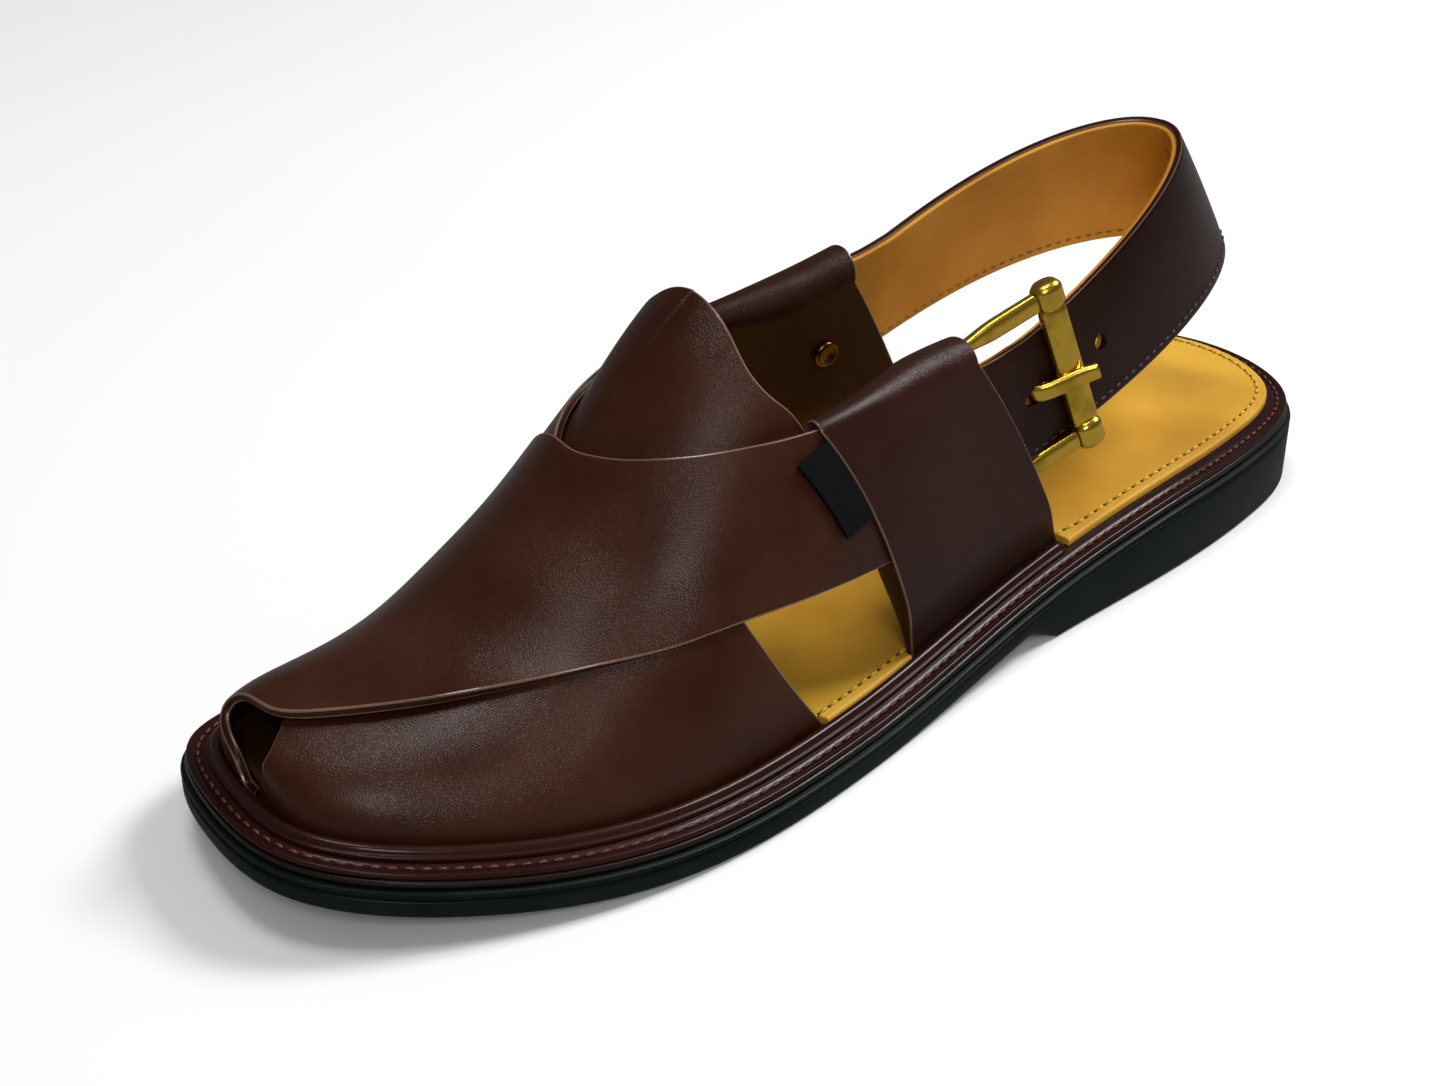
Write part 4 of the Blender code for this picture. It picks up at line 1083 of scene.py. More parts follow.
    def rand(self) -> None:
        """The bead round the forefoot, with a small step along its foot."""
        first, last = (self.share_of(self.rand_end, side) for side in (Side.OUTER, Side.INNER))
        profile = np.array([
            (0.00, 0.00), (0.00, 0.24), (0.03, 0.33), (0.10, 0.38), (0.17, 0.36), (0.20, 0.40),
            (0.25, 0.62), (0.33, 0.82), (0.45, 0.96), (0.58, 1.00), (0.72, 0.98), (0.85, 0.84),
            (0.95, 0.60), (1.00, 0.32), (1.00, 0.00),
        ])
        count, cells = len(profile), 480
        foot, form = self.foot, self.form

        def place(u: Points, v: Points) -> Points:
            row = profile[np.rint(v * count).astype(int) % count]
            ends = np.sqrt(np.clip(np.minimum(u, 1.0 - u) / 0.006, 0.0, 1.0))
            inset = foot.rand_inset + foot.rand_width * (0.5 + (row[:, 0] - 0.5) * ends)
            plan = form.around(first + (last - first) * u, inset)
            return np.column_stack([plan, form.foot_level(plan[:, 1]) + self.rand_height * row[:, 1] * ends])

        thing = Bench.sheet("rand_bead", (cells, count), place, closed=True)
        Bench.smooth(thing, 60.0)
        self.wardrobe.dress(thing, RAND_LEATHER, "leather", "rand")

    def feet(self, side: Side) -> list[tuple[float, float]]:
        """Where a quarter and a strap stand on the welt on one side."""
        room = self.form.gap / self.form.length
        shift = self.inner_shift / self.form.length if side is Side.INNER else 0.0
        rear, front = self.quarter_foot
        return [(rear - shift - room, front - shift + room), (self.strap_rears[side.value] - room, 1.0)]

    def insole_edge(self, along: Points, side: Side) -> Points:
        """How far the insole keeps from the sole's edge."""
        open_inset = self.foot.rand_inset + self.foot.rand_width + self.form.gap
        inset = np.where(along < self.rand_end, self.heel_insole_inset, open_inset)
        for start, end in self.feet(side):
            inset = np.where((along >= start) & (along <= end), self.foot.base_inset + 0.0005, inset)
        return inset

    def insole(self) -> None:
        """The sock that the foot stands on, a little rounded at its edge."""
        corners = [corner for side in Side for foot in self.feet(side) for corner in foot]
        corners = [corner + step for corner in corners for step in (-0.0012, 0.0) if corner < 0.999]
        stations = self.stations(corners + [self.rand_end, self.rand_end - 0.002])
        along = self.form.along(stations)
        edges = [self.insole_edge(along, side) for side in Side]
        rise, level = self.insole_thickness, self.form.foot_level
        levels = []
        for inwards, up in ((0.0, 0.0), (0.0, 0.55), (0.0001, 0.78), (0.00035, 0.94), (0.0008, 1.0)):
            levels.append((tuple(edge + inwards for edge in edges), above(level, rise * up)))
        thing = self.plate("insole_sock", stations, levels, 10)
        Bench.smooth(thing, 60.0)
        self.wardrobe.dress(thing, INSOLE_LEATHER, "insole_leather", "insole")

    def welt_stitches(self) -> None:
        """Dark red thread in the welt's channel."""
        share = np.linspace(0.0, 1.0, 1400)
        plan = self.form.around(share, self.channel_inset)
        line = np.column_stack([plan, self.form.welt_top(plan[:, 1]) - 0.00028])
        stitch = Stitches(pitch=0.0030, length=0.0022, thickness=0.00085)
        up = np.tile((0.0, 0.0, 1.0), (len(line), 1))
        row = stitch.sew("welt_stitches", stitch.spots(line, up))
        self.wardrobe.dress(row, WELT_THREAD, "leather")

    def insole_stitches(self) -> None:
        """Yellow thread with a dark mark at each end as painted shade in its needle hole, inside the insole's
        edge.
        """
        share = np.linspace(0.0, 1.0, 1600)
        along = self.form.along(self.form.around(share, 0.0)[:, 1])
        open_inset = self.foot.rand_inset + self.foot.rand_width + self.form.gap
        turn = ease((along - 0.325) / 0.05)
        inset = self.thread_inset + self.heel_insole_inset * (1.0 - turn) + open_inset * turn
        plan = self.form.around(share, inset)
        line = np.column_stack([plan, self.form.foot_level(plan[:, 1]) + self.insole_thickness])
        up = np.tile((0.0, 0.0, 1.0), (len(line), 1))
        toe = float(self.form.station(self.stitch_end))
        stitch = Stitches(pitch=0.0033, length=0.0022, thickness=0.00095)
        row = stitch.sew("insole_stitches", [spot for spot in stitch.spots(line, up)
                                             if spot.translation.y < toe])
        self.wardrobe.dress(row, INSOLE_THREAD, "insole_leather")
        # Painted shade: a dark mark sunk at each stitch end stands for the shade inside its needle hole.
        hole = Stitches(pitch=0.0033, length=0.0013, thickness=0.00075, sink=-0.15)
        row = hole.sew("insole_needle_holes", [spot for spot in hole.spots(line, up, lead=0.0)
                                               if spot.translation.y < toe])
        self.wardrobe.dress(row, NEEDLE_HOLE_SHADE, "insole_leather")


@dataclass
class Upper:
    """Two straps that cross over the foot, the folded quarters, the tongue and the side tab."""

    form: SoleForm
    foot: FootForm
    wardrobe: Wardrobe
    bite: float = 0.0009
    edge_lift: float = 0.0005
    toe_lift: float = 0.0019
    quarter_wall: float = 0.0016
    quarter_proud: float = 0.0037
    front_depth: float = 0.0020
    inner_shift: float = 0.0060
    tunnel_depth: float = 0.0025 + 0.0018 + 0.0026 + 2.0 * 0.0005
    tunnel_floor: float = 0.25
    pocket_reach: float = 0.93
    quarter_foot: tuple[float, float] = (0.352, 0.518)
    quarter_top: tuple[float, float] = (0.436, 0.583)
    folds: tuple[tuple[float, ...], ...] = ((0.214, 0.223, 0.231, 0.243, 0.257),
                                            (0.219, 0.217, 0.221, 0.232, 0.250))
    tab_turn: tuple[float, float] = (0.158, 0.248)
    tab_width: float = 0.0080
    tab_thickness: float = 0.0009
    tongue_slope: float = 0.14
    tongue_front: float = 0.780
    tongue_rear: Sequence[tuple[float, float]] = (
        (0.262, 0.5850), (0.290, 0.5920), (0.316, 0.600), (0.350, 0.606), (0.386, 0.605),
        (0.431, 0.600), (0.500, 0.596),
    )
    over_rows: Sequence[tuple[float, float, float, float]] = (
        (0.9985, 1.000, 0.630, 1.000), (0.9960, 0.800, 0.668, 0.880), (0.9780, 0.635, 0.690, 0.690),
        (0.972, 0.450, 0.703, 0.540), (0.905, 0.353, 0.703, 0.470), (0.840, 0.312, 0.690, 0.405),
        (0.770, 0.243, 0.662, 0.340), (0.700, 0.182, 0.630, 0.298), (0.620, 0.132, 0.590, 0.266),
        (0.520, 0.100, 0.520, 0.232),
    )
    under_rows: Sequence[tuple[float, float, float, float]] = (
        (1.0000, 1.000, 0.618, 1.000), (1.0000, 0.820, 0.662, 0.900), (0.9994, 0.700, 0.695, 0.740),
        (0.9900, 0.615, 0.709, 0.580), (0.9250, 0.470, 0.709, 0.480), (0.8500, 0.330, 0.696, 0.405),
        (0.770, 0.243, 0.662, 0.335), (0.700, 0.182, 0.630, 0.298), (0.600, 0.132, 0.575, 0.264),
        (0.495, 0.100, 0.495, 0.232),
    )

    def build(self) -> None:
        """Builds the straps, the quarters, the tongue and the tab."""
        self.under_strap()
        self.over_strap()
        for side in Side:
            self.quarter(side)
        self.tongue()
        self.side_tab()

    def on_foot(self, rung: Points, turn: Points, offset: Points) -> Points:
        """Points at an offset from the foot form, never below its standing level."""
        point, normal, _ = self.foot.frame(rung, turn)
        spots = point + normal * np.reshape(offset, (-1, 1))
        spots[:, 2] = np.maximum(spots[:, 2], self.form.foot_level(spots[:, 1]))
        return spots

    def strap_place(self, rows: Sequence[tuple[float, float, float, float]], u: Points,
                    v: Points) -> tuple[Points, Points]:
        """Rung and turn on a strap: u along it, v from its front to its rear edge."""
        rows = np.array(rows)
        table = np.column_stack([self.foot.rung(rows[:, 0]), rows[:, 1], self.foot.rung(rows[:, 2]),
                                 rows[:, 3]])
        edges = smooth_through(np.arange(len(rows)), table, u * (len(rows) - 1))
        rung = edges[:, 0] * (1.0 - v) + edges[:, 2] * v
        turn = edges[:, 1] * (1.0 - v) + edges[:, 3] * v
        return np.clip(rung, 0.0, 1.0), np.clip(turn, 0.0, 1.0)

    def over_strap(self) -> None:
        """The strap on top, from the inner side of the toe to the outer quarter."""
        def place(u: Points, v: Points) -> Points:
            rung, turn = self.strap_place(self.over_rows, u, v)
            foot = ease((1.0 - turn) / 0.10)
            toe = ease((u - 0.10) / 0.10) * (1.0 - ease((u - 0.42) / 0.30))
            edge = (1.0 - v) ** 6
            lift = self.edge_lift * edge * (1.0 - ease((u - 0.80) / 0.15)) * foot
            lift = lift + self.toe_lift * toe * (1.0 - v) ** 4 * foot
            return self.on_foot(rung, turn, self.bite * foot + self.foot.wall + lift)

        thing = Bench.sheet("over_strap", (220, 64), place)
        Bench.wall(thing, self.foot.wall)
        Bench.round_edges(thing, 0.00040, segments=2, line=2)
        Bench.smooth(thing)
        self.wardrobe.dress(thing, UPPER_LEATHER, "leather", "upper",
                            edges=(EDGE_PAINT, EDGE_HIGHLIGHT))

    def under_strap(self) -> None:
        """The strap below, from the outer side of the toe to the inner quarter."""
        def place(u: Points, v: Points) -> Points:
            rung, turn = self.strap_place(self.under_rows, u, v)
            end = ease((self.foot.rung(0.62) - rung) / 0.06)
            return self.on_foot(rung, 1.0 - turn, self.bite * end + self.foot.wall)

        thing = Bench.sheet("under_strap", (220, 64), place, flip=True)
        Bench.wall(thing, self.foot.wall)
        Bench.round_edges(thing, 0.00040, segments=2, line=2)
        Bench.smooth(thing)
        self.wardrobe.dress(thing, UPPER_LEATHER, "leather", "upper",
                            edges=(EDGE_PAINT, EDGE_HIGHLIGHT))

    def quarter_place(self, side: Side, length: Points, height: Points) -> tuple[Points, Points]:
        """Rung and turn on a quarter: length from its rear to its front, height to its fold."""
        rear = self.quarter_foot[0] + (self.quarter_top[0] - self.quarter_foot[0]) * height
        front = self.quarter_foot[1] + (self.quarter_top[1] - self.quarter_foot[1]) * height
        shift = -self.inner_shift / self.form.length if side is Side.INNER else 0.0
        fold = self.folds[side.value]
        turn = height * smooth_through(np.linspace(0.0, 1.0, len(fold)), fold, length)
        turn = turn if side is Side.OUTER else 1.0 - turn
        return self.foot.rung(rear + (front - rear) * length + shift), turn

    def quarter_faces(self, length: Points, height: Points) -> tuple[Points, Points]:
        """Offsets of a quarter's outer and inner face from the foot form."""
        wall = self.foot.wall
        outer = wall + (self.quarter_proud - wall) * ease(height / 0.25)
        rear = self.tunnel_depth + 2.0 * self.quarter_wall - self.quarter_proud
        depth = rear + (self.front_depth - rear) * ease((length - 0.3) / 0.7)
        return outer, -depth * ease((height - 0.05) / 0.35)

    def quarter_loop(self, side: Side, length: float, wall: float) -> Points:
        """A closed loop round the fold at one length."""
        floor = self.tunnel_floor if wall else 0.0
        heights = floor + (1.0 - floor) * np.linspace(0.0, 1.0, 40)
        place = np.full(40, length)
        point, normal, upward = self.foot.frame(*self.quarter_place(side, place, heights))
        outer, inner = self.quarter_faces(place, heights)
        outside = point + normal * (outer - wall)[:, None]
        inside = point + normal * (inner + wall)[:, None]
        middle = (outside[-1] + inside[-1]) / 2.0
        radius = np.linalg.norm(outside[-1] - inside[-1]) / 2.0
        turns = np.linspace(0.0, math.pi, 18)[1:-1, None]
        bend = middle + radius * (np.cos(turns) * normal[-1] + np.sin(turns) * upward[-1])
        return np.vstack([outside, bend, inside[::-1]])

    def quarter(self, side: Side) -> None:
        """A band folded over at its top, with a flat pocket that is open at the rear."""
        lengths = np.linspace(0.0, 1.0, 60)
        loops = [self.quarter_loop(side, length, self.quarter_wall)
                 for length in lengths[::-1] * self.pocket_reach]
        loops += [self.quarter_loop(side, length, 0.0) for length in lengths]
        loops = [(loops[0] + loops[0][::-1]) / 2.0, *loops, (loops[-1] + loops[-1][::-1]) / 2.0]
        loops = np.array(loops)
        rows, count = loops.shape[:2]

        def place(u: Points, v: Points) -> Points:
            row = np.rint(u * (rows - 1)).astype(int)
            return loops[row, np.rint(v * count).astype(int) % count]

        name = "outer_quarter" if side is Side.OUTER else "inner_quarter"
        thing = Bench.sheet(name, (rows - 1, count), place, closed=True)
        Bench.round_edges(thing, 0.00035, segments=2, angle=55.0, line=1)
        Bench.smooth(thing, 50.0)
        self.wardrobe.dress(thing, QUARTER_LEATHER, "leather", "upper", edges=(EDGE_HIGHLIGHT,))

    def throat_along(self, turn: Points) -> Points:
        """Where the straps' rear edges cross a turn."""
        outer = np.array(self.over_rows)[:2:-1]
        inner = np.array(self.under_rows)[:2:-1]
        near = np.interp(turn, outer[:, 3], outer[:, 2])
        return np.where(turn < 0.5, near, np.interp(1.0 - turn, inner[:, 3], inner[:, 2]))

    def tongue(self) -> None:
        """The bell that lies under the straps and rises behind them."""
        rows = np.array(self.tongue_rear)

        def place(u: Points, v: Points) -> Points:
            first = rows[0, 0]
            turn = first + (1.0 - 2.0 * first) * u
            rear = smooth_through(rows[:, 0], rows[:, 1], np.minimum(turn, 1.0 - turn))
            along = rear + (self.tongue_front - rear) * v
            behind = np.clip(self.throat_along(turn) - along, 0.0, None) * self.form.length
            offset = self.tongue_slope * behind - 0.0005
            return self.on_foot(self.foot.rung(along), turn, offset)

        thing = Bench.sheet("tongue_bell", (150, 90), place)
        Bench.wall(thing, 0.0018)
        Bench.round_edges(thing, 0.00040, segments=2, line=2)
        Bench.smooth(thing)
        self.wardrobe.dress(thing, TONGUE_LEATHER, "leather", "tongue",
                            edges=(EDGE_PAINT, EDGE_HIGHLIGHT))

    def side_tab(self) -> None:
        """The small woven tab along the outer quarter's front edge, with no mark on it."""
        top = self.folds[0][-1]

        def place(u: Points, v: Points) -> Points:
            turn = self.tab_turn[0] + (self.tab_turn[1] - self.tab_turn[0]) * u
            rear = self.quarter_foot[1] + (self.quarter_top[1] - self.quarter_foot[1]) * turn / top
            along = rear + (self.form.gap + self.tab_width * v) / self.form.length
            lift = self.bite + self.foot.wall + self.form.gap + self.tab_thickness
            return self.on_foot(self.foot.rung(along), turn, np.full(len(u), lift))

        thing = Bench.sheet("side_tab_ribbon", (60, 26), place)
        Bench.wall(thing, self.tab_thickness)
        Bench.round_edges(thing, 0.00025)
        Bench.smooth(thing)
        self.wardrobe.dress(thing, TAB_CLOTH, "cloth", "side_tab", edges=(TAB_CLOTH,))


@dataclass
class BackStrap:
    """The strap round the heel, dark outside and tan inside, with its holes and stitches."""

    form: SoleForm
    foot: FootForm
    wardrobe: Wardrobe
    wall: float = 0.0026
    lining: float = 0.0011
    reach: float = 0.0155
    width: float = 0.0250
    heel_rise: float = 0.0335
    quarter_top_height: float = 0.0640
    heel_top: float = 0.0912
    heel_setback: float = 0.0450
    heel_lean: float = 0.0175
    heel_flare: float = 0.0030
    inner_rise: float = 0.0070
    easing: float = 0.10
    bend: float = 2.15
    middle_offset: float = 0.0037 - 0.0016 - 0.0005 - 0.0013
    quarter_mid: float = (0.352 + 0.436) / 2.0
    inner_shift: float = 0.0060
    hole: float = 0.0036
    slot: float = 0.0090
    hole_spacing: float = 0.0195
    slot_reach: float = 0.0165
    buckle_reach: float = 0.0130
    frame_length: float = 0.0242
    thread_inset: float = 0.0021

    def mouth(self, side: Side) -> float:
        """Station of a quarter's rear edge at half its height."""
        shift = self.inner_shift / self.form.length if side is Side.INNER else 0.0
        return float(self.form.station(self.quarter_mid - shift))

    def heights(self, y: Points, share: float, inner: object) -> Points:
        """Height of the strap at a station: share is 0 at its lower edge and 1 at its top."""
        rear = self.mouth(Side.OUTER)
        back = (rear - y) / (rear - (self.heel_setback - self.form.length / 2.0))
        back = (back + np.hypot(back, self.easing)) / 2.0
        top = self.quarter_top_height + (self.heel_top - self.quarter_top_height) * back
        top = top + np.where(inner, self.inner_rise * (1.0 - back**2), 0.0)
        return top - (self.width + (self.heel_rise - self.width) * back) * (1.0 - share)

    def beside(self, side: Side, y: Points, share: float) -> Points:
        """Points of the strap's middle along one quarter."""
        height = self.heights(y, share, side is Side.INNER)
        along = self.form.along(y)
        turn = self.foot.turn(side, along, height)
        point, normal, _ = self.foot.frame(self.foot.rung(along), turn)
        return point + normal * self.middle_offset

    def line(self, share: float, rows: int) -> Points:
        """One line along the strap, from the outer quarter round the heel to the inner one."""
        heel = self.heel_setback - self.heel_lean * (1.0 - share) - self.form.length / 2.0
        straight = rows // 6
        turns = np.linspace(-math.pi / 2.0, math.pi / 2.0, rows - 2 * straight + 2)[1:-1]
        around = np.abs(np.sin(turns)) ** (2.0 / self.bend)
        behind = np.cos(turns) ** (2.0 / self.bend)
        inside = turns > 0.0
        runs, halves = [], []
        for side in Side:
            mouth = self.mouth(side)
            run = self.beside(side, np.linspace(mouth + self.reach, mouth, straight), share)
            runs.append(run)
            halves.append((run[-1, 0], mouth - (mouth - heel) * behind))
        middle = (halves[0][0] + halves[1][0]) / 2.0
        half = (halves[1][0] - halves[0][0]) / 2.0 + self.heel_flare * (1.0 - share) * np.cos(turns)
        x = middle + half * around * np.sign(turns)
        y = np.where(inside, halves[1][1], halves[0][1])
        curve = np.column_stack([x, y, self.heights(y, share, inside)])
        return np.vstack([runs[0], curve, runs[1][::-1]])

    def surface(self, rows: int, shares: Points) -> tuple[Points, Points]:
        """The strap's middle surface and its outward normals, lower edge in the first column."""
        middle = np.array([self.line(share, rows) for share in shares]).transpose(1, 0, 2)
        normal = np.cross(np.gradient(middle, axis=0), np.gradient(middle, axis=1))
        return middle, unit(normal)

    def place_at(self, y: float) -> tuple[Points, Points, Points, Points, float]:
        """Middle point, run towards the heel, way up, outward normal and width at a station."""
        middle, normal = self.surface(40, np.linspace(0.0, 1.0, 4))
        centre = (middle[:20, 1] + middle[:20, 2]) / 2.0
        facing = (normal[:20, 1] + normal[:20, 2]) / 2.0
        across = middle[:20, 3] - middle[:20, 0]
        order = centre[:, 1].argsort()
        point, run, outward, across = (
            np.array([np.interp(y, centre[order, 1], part[order, i]) for i in range(3)])
            for part in (centre, np.gradient(centre, axis=0), facing, across)
        )
        run = unit(run)
        up = unit(np.cross(outward, run))
        up = -up if up[2] < 0.0 else up
        outward = unit(outward - run * np.dot(run, outward))
        return point, run, up, outward, float(np.dot(across, up))

    def bar_stations(self) -> tuple[float, float]:
        """Stations of the roller and of the hinge bar in the fold."""
        roller = self.mouth(Side.OUTER) - self.buckle_reach
        return roller, roller + self.frame_length

    def layer(self, name: str, outer: float, inner: float, trim: float) -> bpy.types.Object:
        """One layer of the strap between two offsets from its middle."""
        cells = (300, 22)
        shares = np.linspace(trim, 1.0 - trim, cells[1] + 1)
        middle, normal = self.surface(cells[0] + 1, shares)

        def place(u: Points, v: Points) -> Points:
            row, column = np.rint(u * cells[0]).astype(int), np.rint(v * cells[1]).astype(int)
            return middle[row, column] + normal[row, column] * outer

        thing = Bench.sheet(name, cells, place)
        Bench.wall(thing, outer - inner)
        return thing

    def punch(self, station: float, length: float) -> bpy.types.Object:
        """An oval tool through the strap, long along its run."""
        point, run, up, outward, _ = self.place_at(station)
        Bench.clear()
        bpy.ops.mesh.primitive_cylinder_add(vertices=40, radius=0.5, depth=4.0 * self.wall)
        tool = bpy.context.object
        spots = Bench.points(tool)
        spots = (point + np.outer(spots[:, 0] * length, run) + np.outer(spots[:, 1] * self.hole, up)
                 + np.outer(spots[:, 2], outward))
        Bench.move(tool, spots)
        Bench.edit(tool, lambda: bpy.ops.mesh.normals_make_consistent(inside=False))
        return tool

    def build(self) -> None:
        """Builds both layers and the stitch row."""
        half = self.wall / 2.0
        seam = self.lining - half
        layers = [("strap_outside", half, seam + 0.00002, 0.0, STRAP_LEATHER),
                  ("strap_lining", seam - 0.00002, -half, 0.006, LINING_LEATHER)]
        slot = self.bar_stations()[1] - self.slot_reach
        for name, outer, inner, trim, finish in layers:
            thing = self.layer(name, outer, inner, trim)
            Bench.round_edges(thing, 0.00025, segments=2, angle=60.0, line=2)
            Bench.carve(thing, [self.punch(slot, self.slot),
                                self.punch(slot - self.hole_spacing, self.hole)])
            Bench.smooth(thing, 40.0)
            edges = (EDGE_PAINT, EDGE_HIGHLIGHT) if finish is STRAP_LEATHER else ()
            self.wardrobe.dress(thing, finish, "strap_leather", "back_strap", edges=edges)
        self.stitches()

    def stitches(self) -> None:
        """Dark thread along the lower edge outside, tan thread inside."""
        stitch = Stitches(pitch=0.0027, length=0.0017, thickness=0.0006)
        share = self.thread_inset / self.heel_rise
        for name, offset, finish in (("strap_stitches", self.wall / 2.0, STRAP_THREAD),
                                     ("lining_stitches", -self.wall / 2.0, LINING_THREAD)):
            middle, normal = self.surface(301, np.array([share * 0.9, share, share * 1.1]))
            way = normal[:, 1] * (1.0 if offset > 0.0 else -1.0)
            row = stitch.sew(name, stitch.spots(middle[:, 1] + normal[:, 1] * offset, way))
            self.wardrobe.dress(row, finish, "strap_leather")


@dataclass
class Buckle:
    """Cast frame with knuckles, roller, prong, and the eyelet of the inner quarter."""

    strap: BackStrap
    upper: Upper
    wardrobe: Wardrobe
    wire: float = 0.0025
    corner: float = 0.0017
    arm_space: float = 0.0026
    arm_broad: float = 0.0022
    roller_width: float = 0.0064
    roller: float = 0.0034
    gap: float = 0.0003
    rise: float = 0.0028
    hinge_space: float = 0.0018
    hinge_drop: float = 0.0010
    knuckle: float = 0.0035
    prong_width: float = 0.0040
    prong_thickness: float = 0.0023
    prong_tip: float = 0.0042
    prong_sink: float = 0.0009
    rivet_place: tuple[float, float] = (0.30, 0.66)
    rivet_width: float = 0.0062

    def build(self) -> None:
        """Builds the metal pieces."""
        self.bars()
        self.frame()
        self.roller_bar()
        self.prong()
        self.eyelet()

    def bars(self) -> None:
        """Works out the centres, half length and directions of both bars."""
        strap = self.strap
        roller_y, hinge_y = strap.bar_stations()
        point, _, up, outward, width = strap.place_at(roller_y)
        lift = strap.wall / 2.0 + self.gap + self.roller / 2.0
        self.front = point + up * self.rise + outward * lift
        point, _, _, outward, _ = strap.place_at(hinge_y)
        drop = (strap.wall + self.wire) / 2.0 + self.hinge_space
        self.hinge = point - up * self.hinge_drop - outward * drop
        self.half = (width + self.wire) / 2.0 + self.arm_space
        self.up = up
        self.across = unit(np.cross(up, self.hinge - self.front))
        self.beside = np.cross(up, self.across)

    def frame(self) -> None:
        """The closed frame: arms that broaden towards the knuckles at the roller's ends."""
        up, half = self.up, self.half
        corners = [self.front + up * half, self.hinge + up * half, self.hinge - up * half,
                   self.front - up * half]
        normal = unit(np.cross(corners[1] - corners[0], corners[2] - corners[1]))
        path = []
        for i in range(4):
            back, ahead = unit(corners[i - 1] - corners[i]), unit(corners[(i + 1) % 4] - corners[i])
            centre = corners[i] + (back + ahead) * self.corner
            for angle in np.linspace(0.0, math.pi / 2.0, 7):
                path.append(centre - self.corner * (ahead * math.cos(angle) + back * math.sin(angle)))
            reach = np.linalg.norm(corners[(i + 1) % 4] - corners[i]) - 2.0 * self.corner
            for share in np.linspace(0.0, 1.0, 14)[1:-1]:
                path.append(corners[i] + ahead * (self.corner + reach * share))
        path = np.array(path)
        way = unit(np.roll(path, -1, axis=0) - np.roll(path, 1, axis=0))
        span = self.hinge - self.front
        share = ((path - self.front) @ span) / (span @ span)
        arm = ease((np.abs((path - self.front) @ up) - half * 0.82) / (half * 0.15))
        broad = self.wire / 2.0 + (self.arm_broad - self.wire / 2.0) * arm * (1.0 - ease((share - 0.50) / 0.35))
        sizes = np.column_stack([broad, np.full(len(path), self.wire / 2.0 * 1.1)])
        side = np.cross(way, np.tile(normal, (len(path), 1)))
        bar = Bench.bar("buckle_bar", path, side, np.tile(normal, (len(path), 1)), sizes,
                        power=2.9, closed=True)
        things = [bar]
        for end in (-1.0, 1.0):
            centre = self.front + up * half * end
            height = self.arm_broad * 1.08
            line = np.array([centre + up * height * at for at in np.linspace(-1.0, 1.0, 13)])
            sizes = np.full((13, 2), self.knuckle) * (1.0, 0.80)
            sizes[[0, 12]] *= 0.90
            sizes[[1, 11]] *= 0.975
            things.append(Bench.bar("knuckle", line, np.tile(self.beside, (13, 1)),
                                    np.tile(self.across, (13, 1)), sizes, power=2.3, around=32))
        thing = Bench.join("buckle_cast_frame", things)
        Bench.smooth(thing, 55.0)
        self.wardrobe.dress(thing, BUCKLE_BRASS, "brass", "buckle_frame")

    def roller_bar(self) -> None:
        """The roller: a bar with softly squared sides between the knuckles."""
        reach = self.half - self.corner - self.gap
        line = np.array([self.front + self.up * reach * at for at in np.linspace(-1.0, 1.0, 13)])
        sizes = np.full((13, 2), 0.5) * (self.roller_width, self.roller)
        sizes[[0, 12]] *= 0.92
        thing = Bench.bar("buckle_roller_bar", line, np.tile(self.beside, (13, 1)),
                          np.tile(self.across, (13, 1)), sizes, power=2.7, around=40)
        Bench.smooth(thing, 55.0)
        self.wardrobe.dress(thing, BUCKLE_BRASS, "brass", "buckle_roller")

    def beside_strap(self, station: float, offset: float) -> Points:
        """A point at an offset outwards from the strap's middle at a station."""
        point, _, _, outward, _ = self.strap.place_at(station)
        return point + outward * offset

    def prong(self) -> None:
        """The pin: out through the slot, over the roller, with a ridge and a squared end."""
        roller, hinge = self.strap.bar_stations()
        slot = hinge - self.strap.slot_reach
        thick = self.prong_thickness
        under = -(self.strap.wall + thick) / 2.0 - self.gap
        over = (self.strap.wall + thick) / 2.0 + self.roller + 2.0 * self.gap
        seat = self.strap.place_at(roller)
        knots = [self.beside_strap(hinge - (self.wire + thick) / 2.0 - self.gap, under),
                 self.beside_strap(slot + 0.0036, under), self.beside_strap(slot + 0.0008, 0.0),
                 self.beside_strap(slot - 0.0020, -under),
                 self.beside_strap(roller, over - self.prong_sink)]
        ahead = unit(unit(knots[4] - knots[3]) - 0.25 * seat[1])
        knots.append(knots[4] + ahead * self.prong_tip)
        at = np.linspace(0.0, len(knots) - 1.0, 60)
        path = smooth_through(np.arange(len(knots)), np.array(knots), at)
        ups = np.tile(seat[2], (len(path), 1))
        way = unit(np.gradient(path, axis=0))
        through = unit(np.cross(way, ups))
        slim = 1.0 - 0.12 * ease((at - 4.0) / 1.0)
        sizes = np.column_stack([self.prong_width / 2.0 * slim, thick / 2.0 * slim])
        thing = Bench.bar("buckle_pin", path, ups, through, sizes, power=2.6)
        Bench.smooth(thing, 50.0)
        self.wardrobe.dress(thing, BUCKLE_BRASS, "brass", "buckle_prong")

    def eyelet(self) -> None:
        """The rivet on the inner quarter's face towards the foot: a ring with a sunk middle."""
        length, height = (np.array([value]) for value in self.rivet_place)
        point, normal, upward = (part[0] for part in self.upper.foot.frame(
            *self.upper.quarter_place(Side.INNER, length, height)))
        inner = self.upper.quarter_faces(length, height)[1]
        beside = np.cross(normal, upward)
        seat = point + normal * (inner[0] - self.gap)
        profile = np.array([(0.0, 0.0), (1.0, 0.0), (1.0, 0.45), (0.93, 0.78), (0.80, 0.97),
                            (0.66, 1.0), (0.52, 0.86), (0.44, 0.60), (0.36, 0.52), (0.0, 0.60)])
        rows = len(profile)

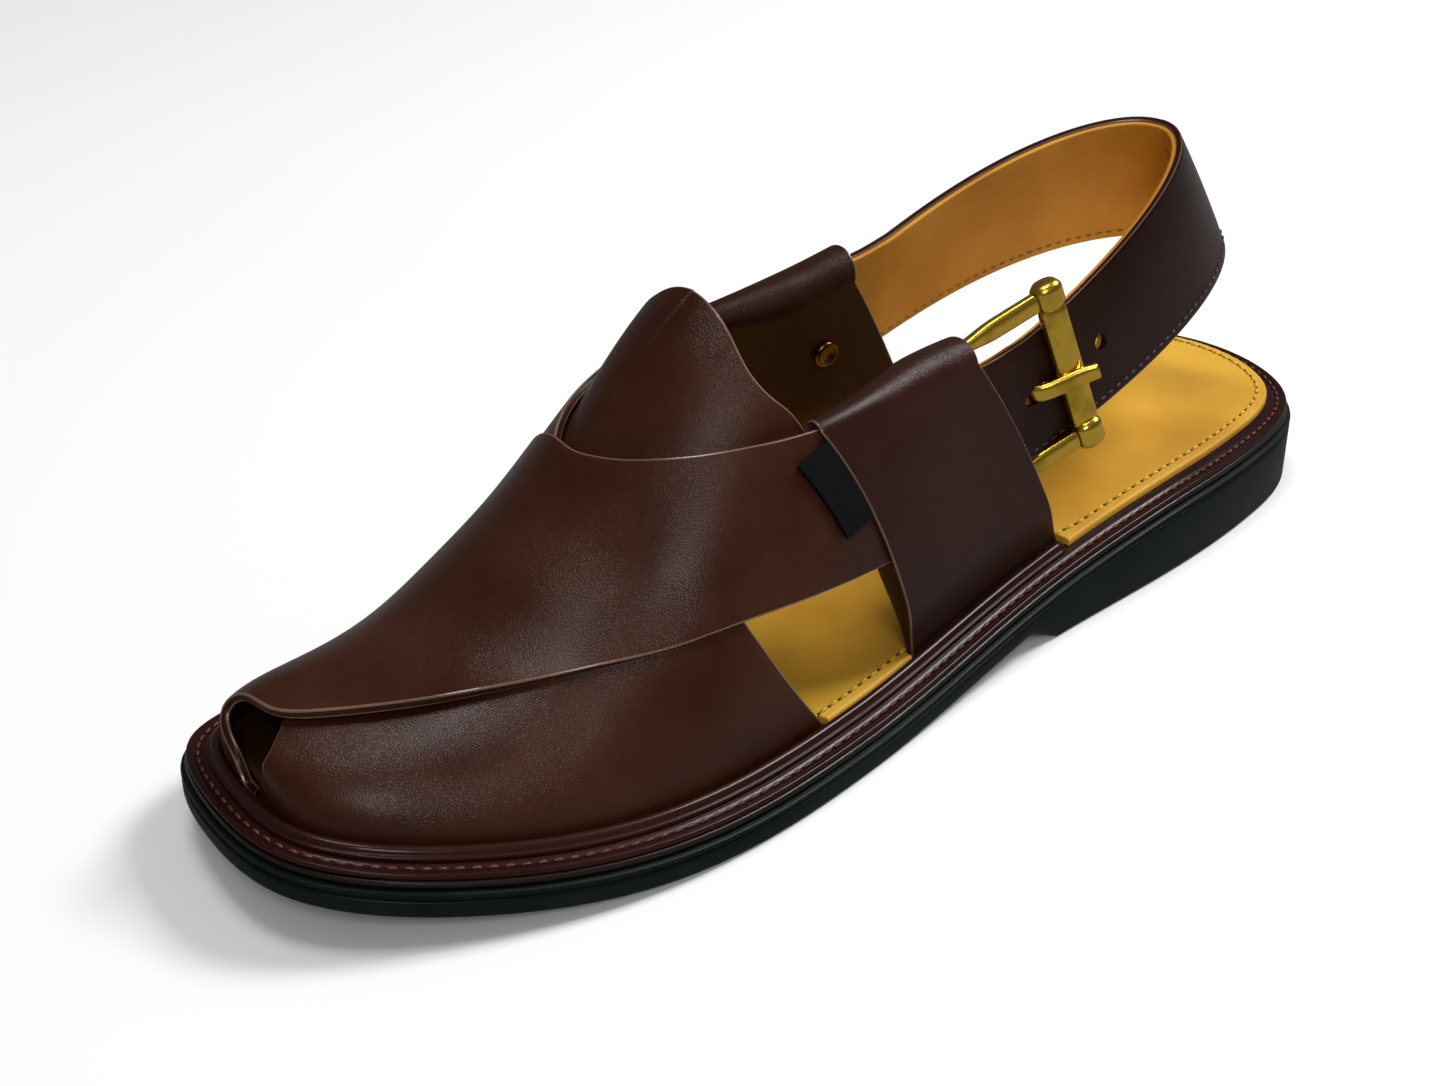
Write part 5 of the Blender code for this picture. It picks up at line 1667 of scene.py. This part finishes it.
        def place(u: Points, v: Points) -> Points:
            row = profile[np.rint(v * (rows - 1)).astype(int)]
            angle = 2.0 * math.pi * np.mod(u, 1.0)
            radius = row[:, 0] * self.rivet_width / 2.0
            flat = np.outer(np.cos(angle) * radius, upward) + np.outer(np.sin(angle) * radius, beside)
            return seat - np.outer(row[:, 1] * 0.0010, normal) + flat

        thing = Bench.sheet("quarter_eyelet", (40, rows - 1), place, closed=True)
        Bench.smooth(thing, 50.0)
        self.wardrobe.dress(thing, EYELET_BRASS, "brass", "quarter_rivet")


class Lamp(Enum):
    """The studio's soft lights: place, what it faces, size, power."""

    KEY = ((-0.20, -0.85, 1.10), (0.0, 0.0, 0.04), (0.45, 0.45), 13.6)
    FRONT = ((-0.95, 0.70, 1.00), (0.0, 0.0, 0.04), (0.42, 0.42), 5.4)
    TOP = ((0.10, 0.15, 1.50), (0.0, 0.0, 0.0), (0.42, 0.42), 6.2)


@dataclass
class Studio:
    """Camera, lights, floor and colour."""

    wardrobe: Wardrobe
    eye: tuple[float, float, float] = (-0.2939, 0.2850, 0.2583)
    ahead: tuple[float, float, float] = (0.651, -0.568, -0.503)
    lens: float = 54.34
    floor_size: float = 24.0
    sky: float = 0.24
    sky_reflected: float = 0.10

    def build(self) -> None:
        """Sets the stage."""
        self.floor()
        for lamp in Lamp:
            self.light(lamp)
        self.camera()
        self.world()

    def floor(self) -> None:
        """A wide pale floor, low enough to carry the sole."""
        Bench.clear()
        bpy.ops.mesh.primitive_grid_add(x_subdivisions=8, y_subdivisions=8, size=self.floor_size)
        thing = bpy.context.object
        thing.name = "floor"
        thing.data.materials.append(self.wardrobe.material(FLOOR))

    def light(self, lamp: Lamp) -> None:
        """Adds one soft rectangular light."""
        place, target, size, power = lamp.value
        data = bpy.data.lights.new(lamp.name.lower(), "AREA")
        data.shape = "RECTANGLE"
        data.size, data.size_y = size
        data.energy = power
        thing = bpy.data.objects.new(lamp.name.lower(), data)
        thing.location = place
        way = Vector(target) - Vector(place)
        thing.rotation_euler = way.to_track_quat("-Z", "Y").to_euler()
        bpy.context.scene.collection.objects.link(thing)

    def camera(self) -> None:
        """Puts the camera at the photograph's angle to the shoe."""
        data = bpy.data.cameras.new("camera")
        data.lens = self.lens
        data.sensor_width = 36.0
        data.clip_start = 0.01
        thing = bpy.data.objects.new("camera", data)
        thing.location = self.eye
        thing.rotation_euler = Vector(self.ahead).to_track_quat("-Z", "Y").to_euler()
        bpy.context.scene.collection.objects.link(thing)
        bpy.context.scene.camera = thing

    def world(self) -> None:
        """Sets the soft light all round."""
        world = bpy.data.worlds.new("studio")
        bpy.context.scene.world = world
        world.use_nodes = True
        back = world.node_tree.nodes["Background"]
        back.inputs["Color"].default_value = (1.0, 1.0, 1.0, 1.0)
        nodes = Nodes(world.node_tree)
        rays = nodes.add("ShaderNodeLightPath").outputs
        shown = nodes.math("MULTIPLY", rays["Is Camera Ray"], 1.0 - self.sky)
        hidden = nodes.math("MULTIPLY", rays["Is Glossy Ray"], self.sky - self.sky_reflected)
        strength = nodes.math("SUBTRACT", nodes.math("ADD", shown, self.sky), hidden)
        world.node_tree.links.new(strength, back.inputs["Strength"])
        settings = bpy.context.scene.view_settings
        settings.view_transform = "Standard"
        settings.look = "None"


def main() -> None:
    """Builds the shoe's looks in order and sets the stage."""
    logging.basicConfig(level=logging.INFO, format="%(message)s")
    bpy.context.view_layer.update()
    form = SoleForm()
    foot = FootForm(form)
    wardrobe = Wardrobe()
    Sole(form, foot, wardrobe).build()
    upper = Upper(form, foot, wardrobe)
    upper.build()
    strap = BackStrap(form, foot, wardrobe)
    strap.build()
    Buckle(strap, upper, wardrobe).build()
    Studio(wardrobe).build()


if __name__ == "__main__":
    main()
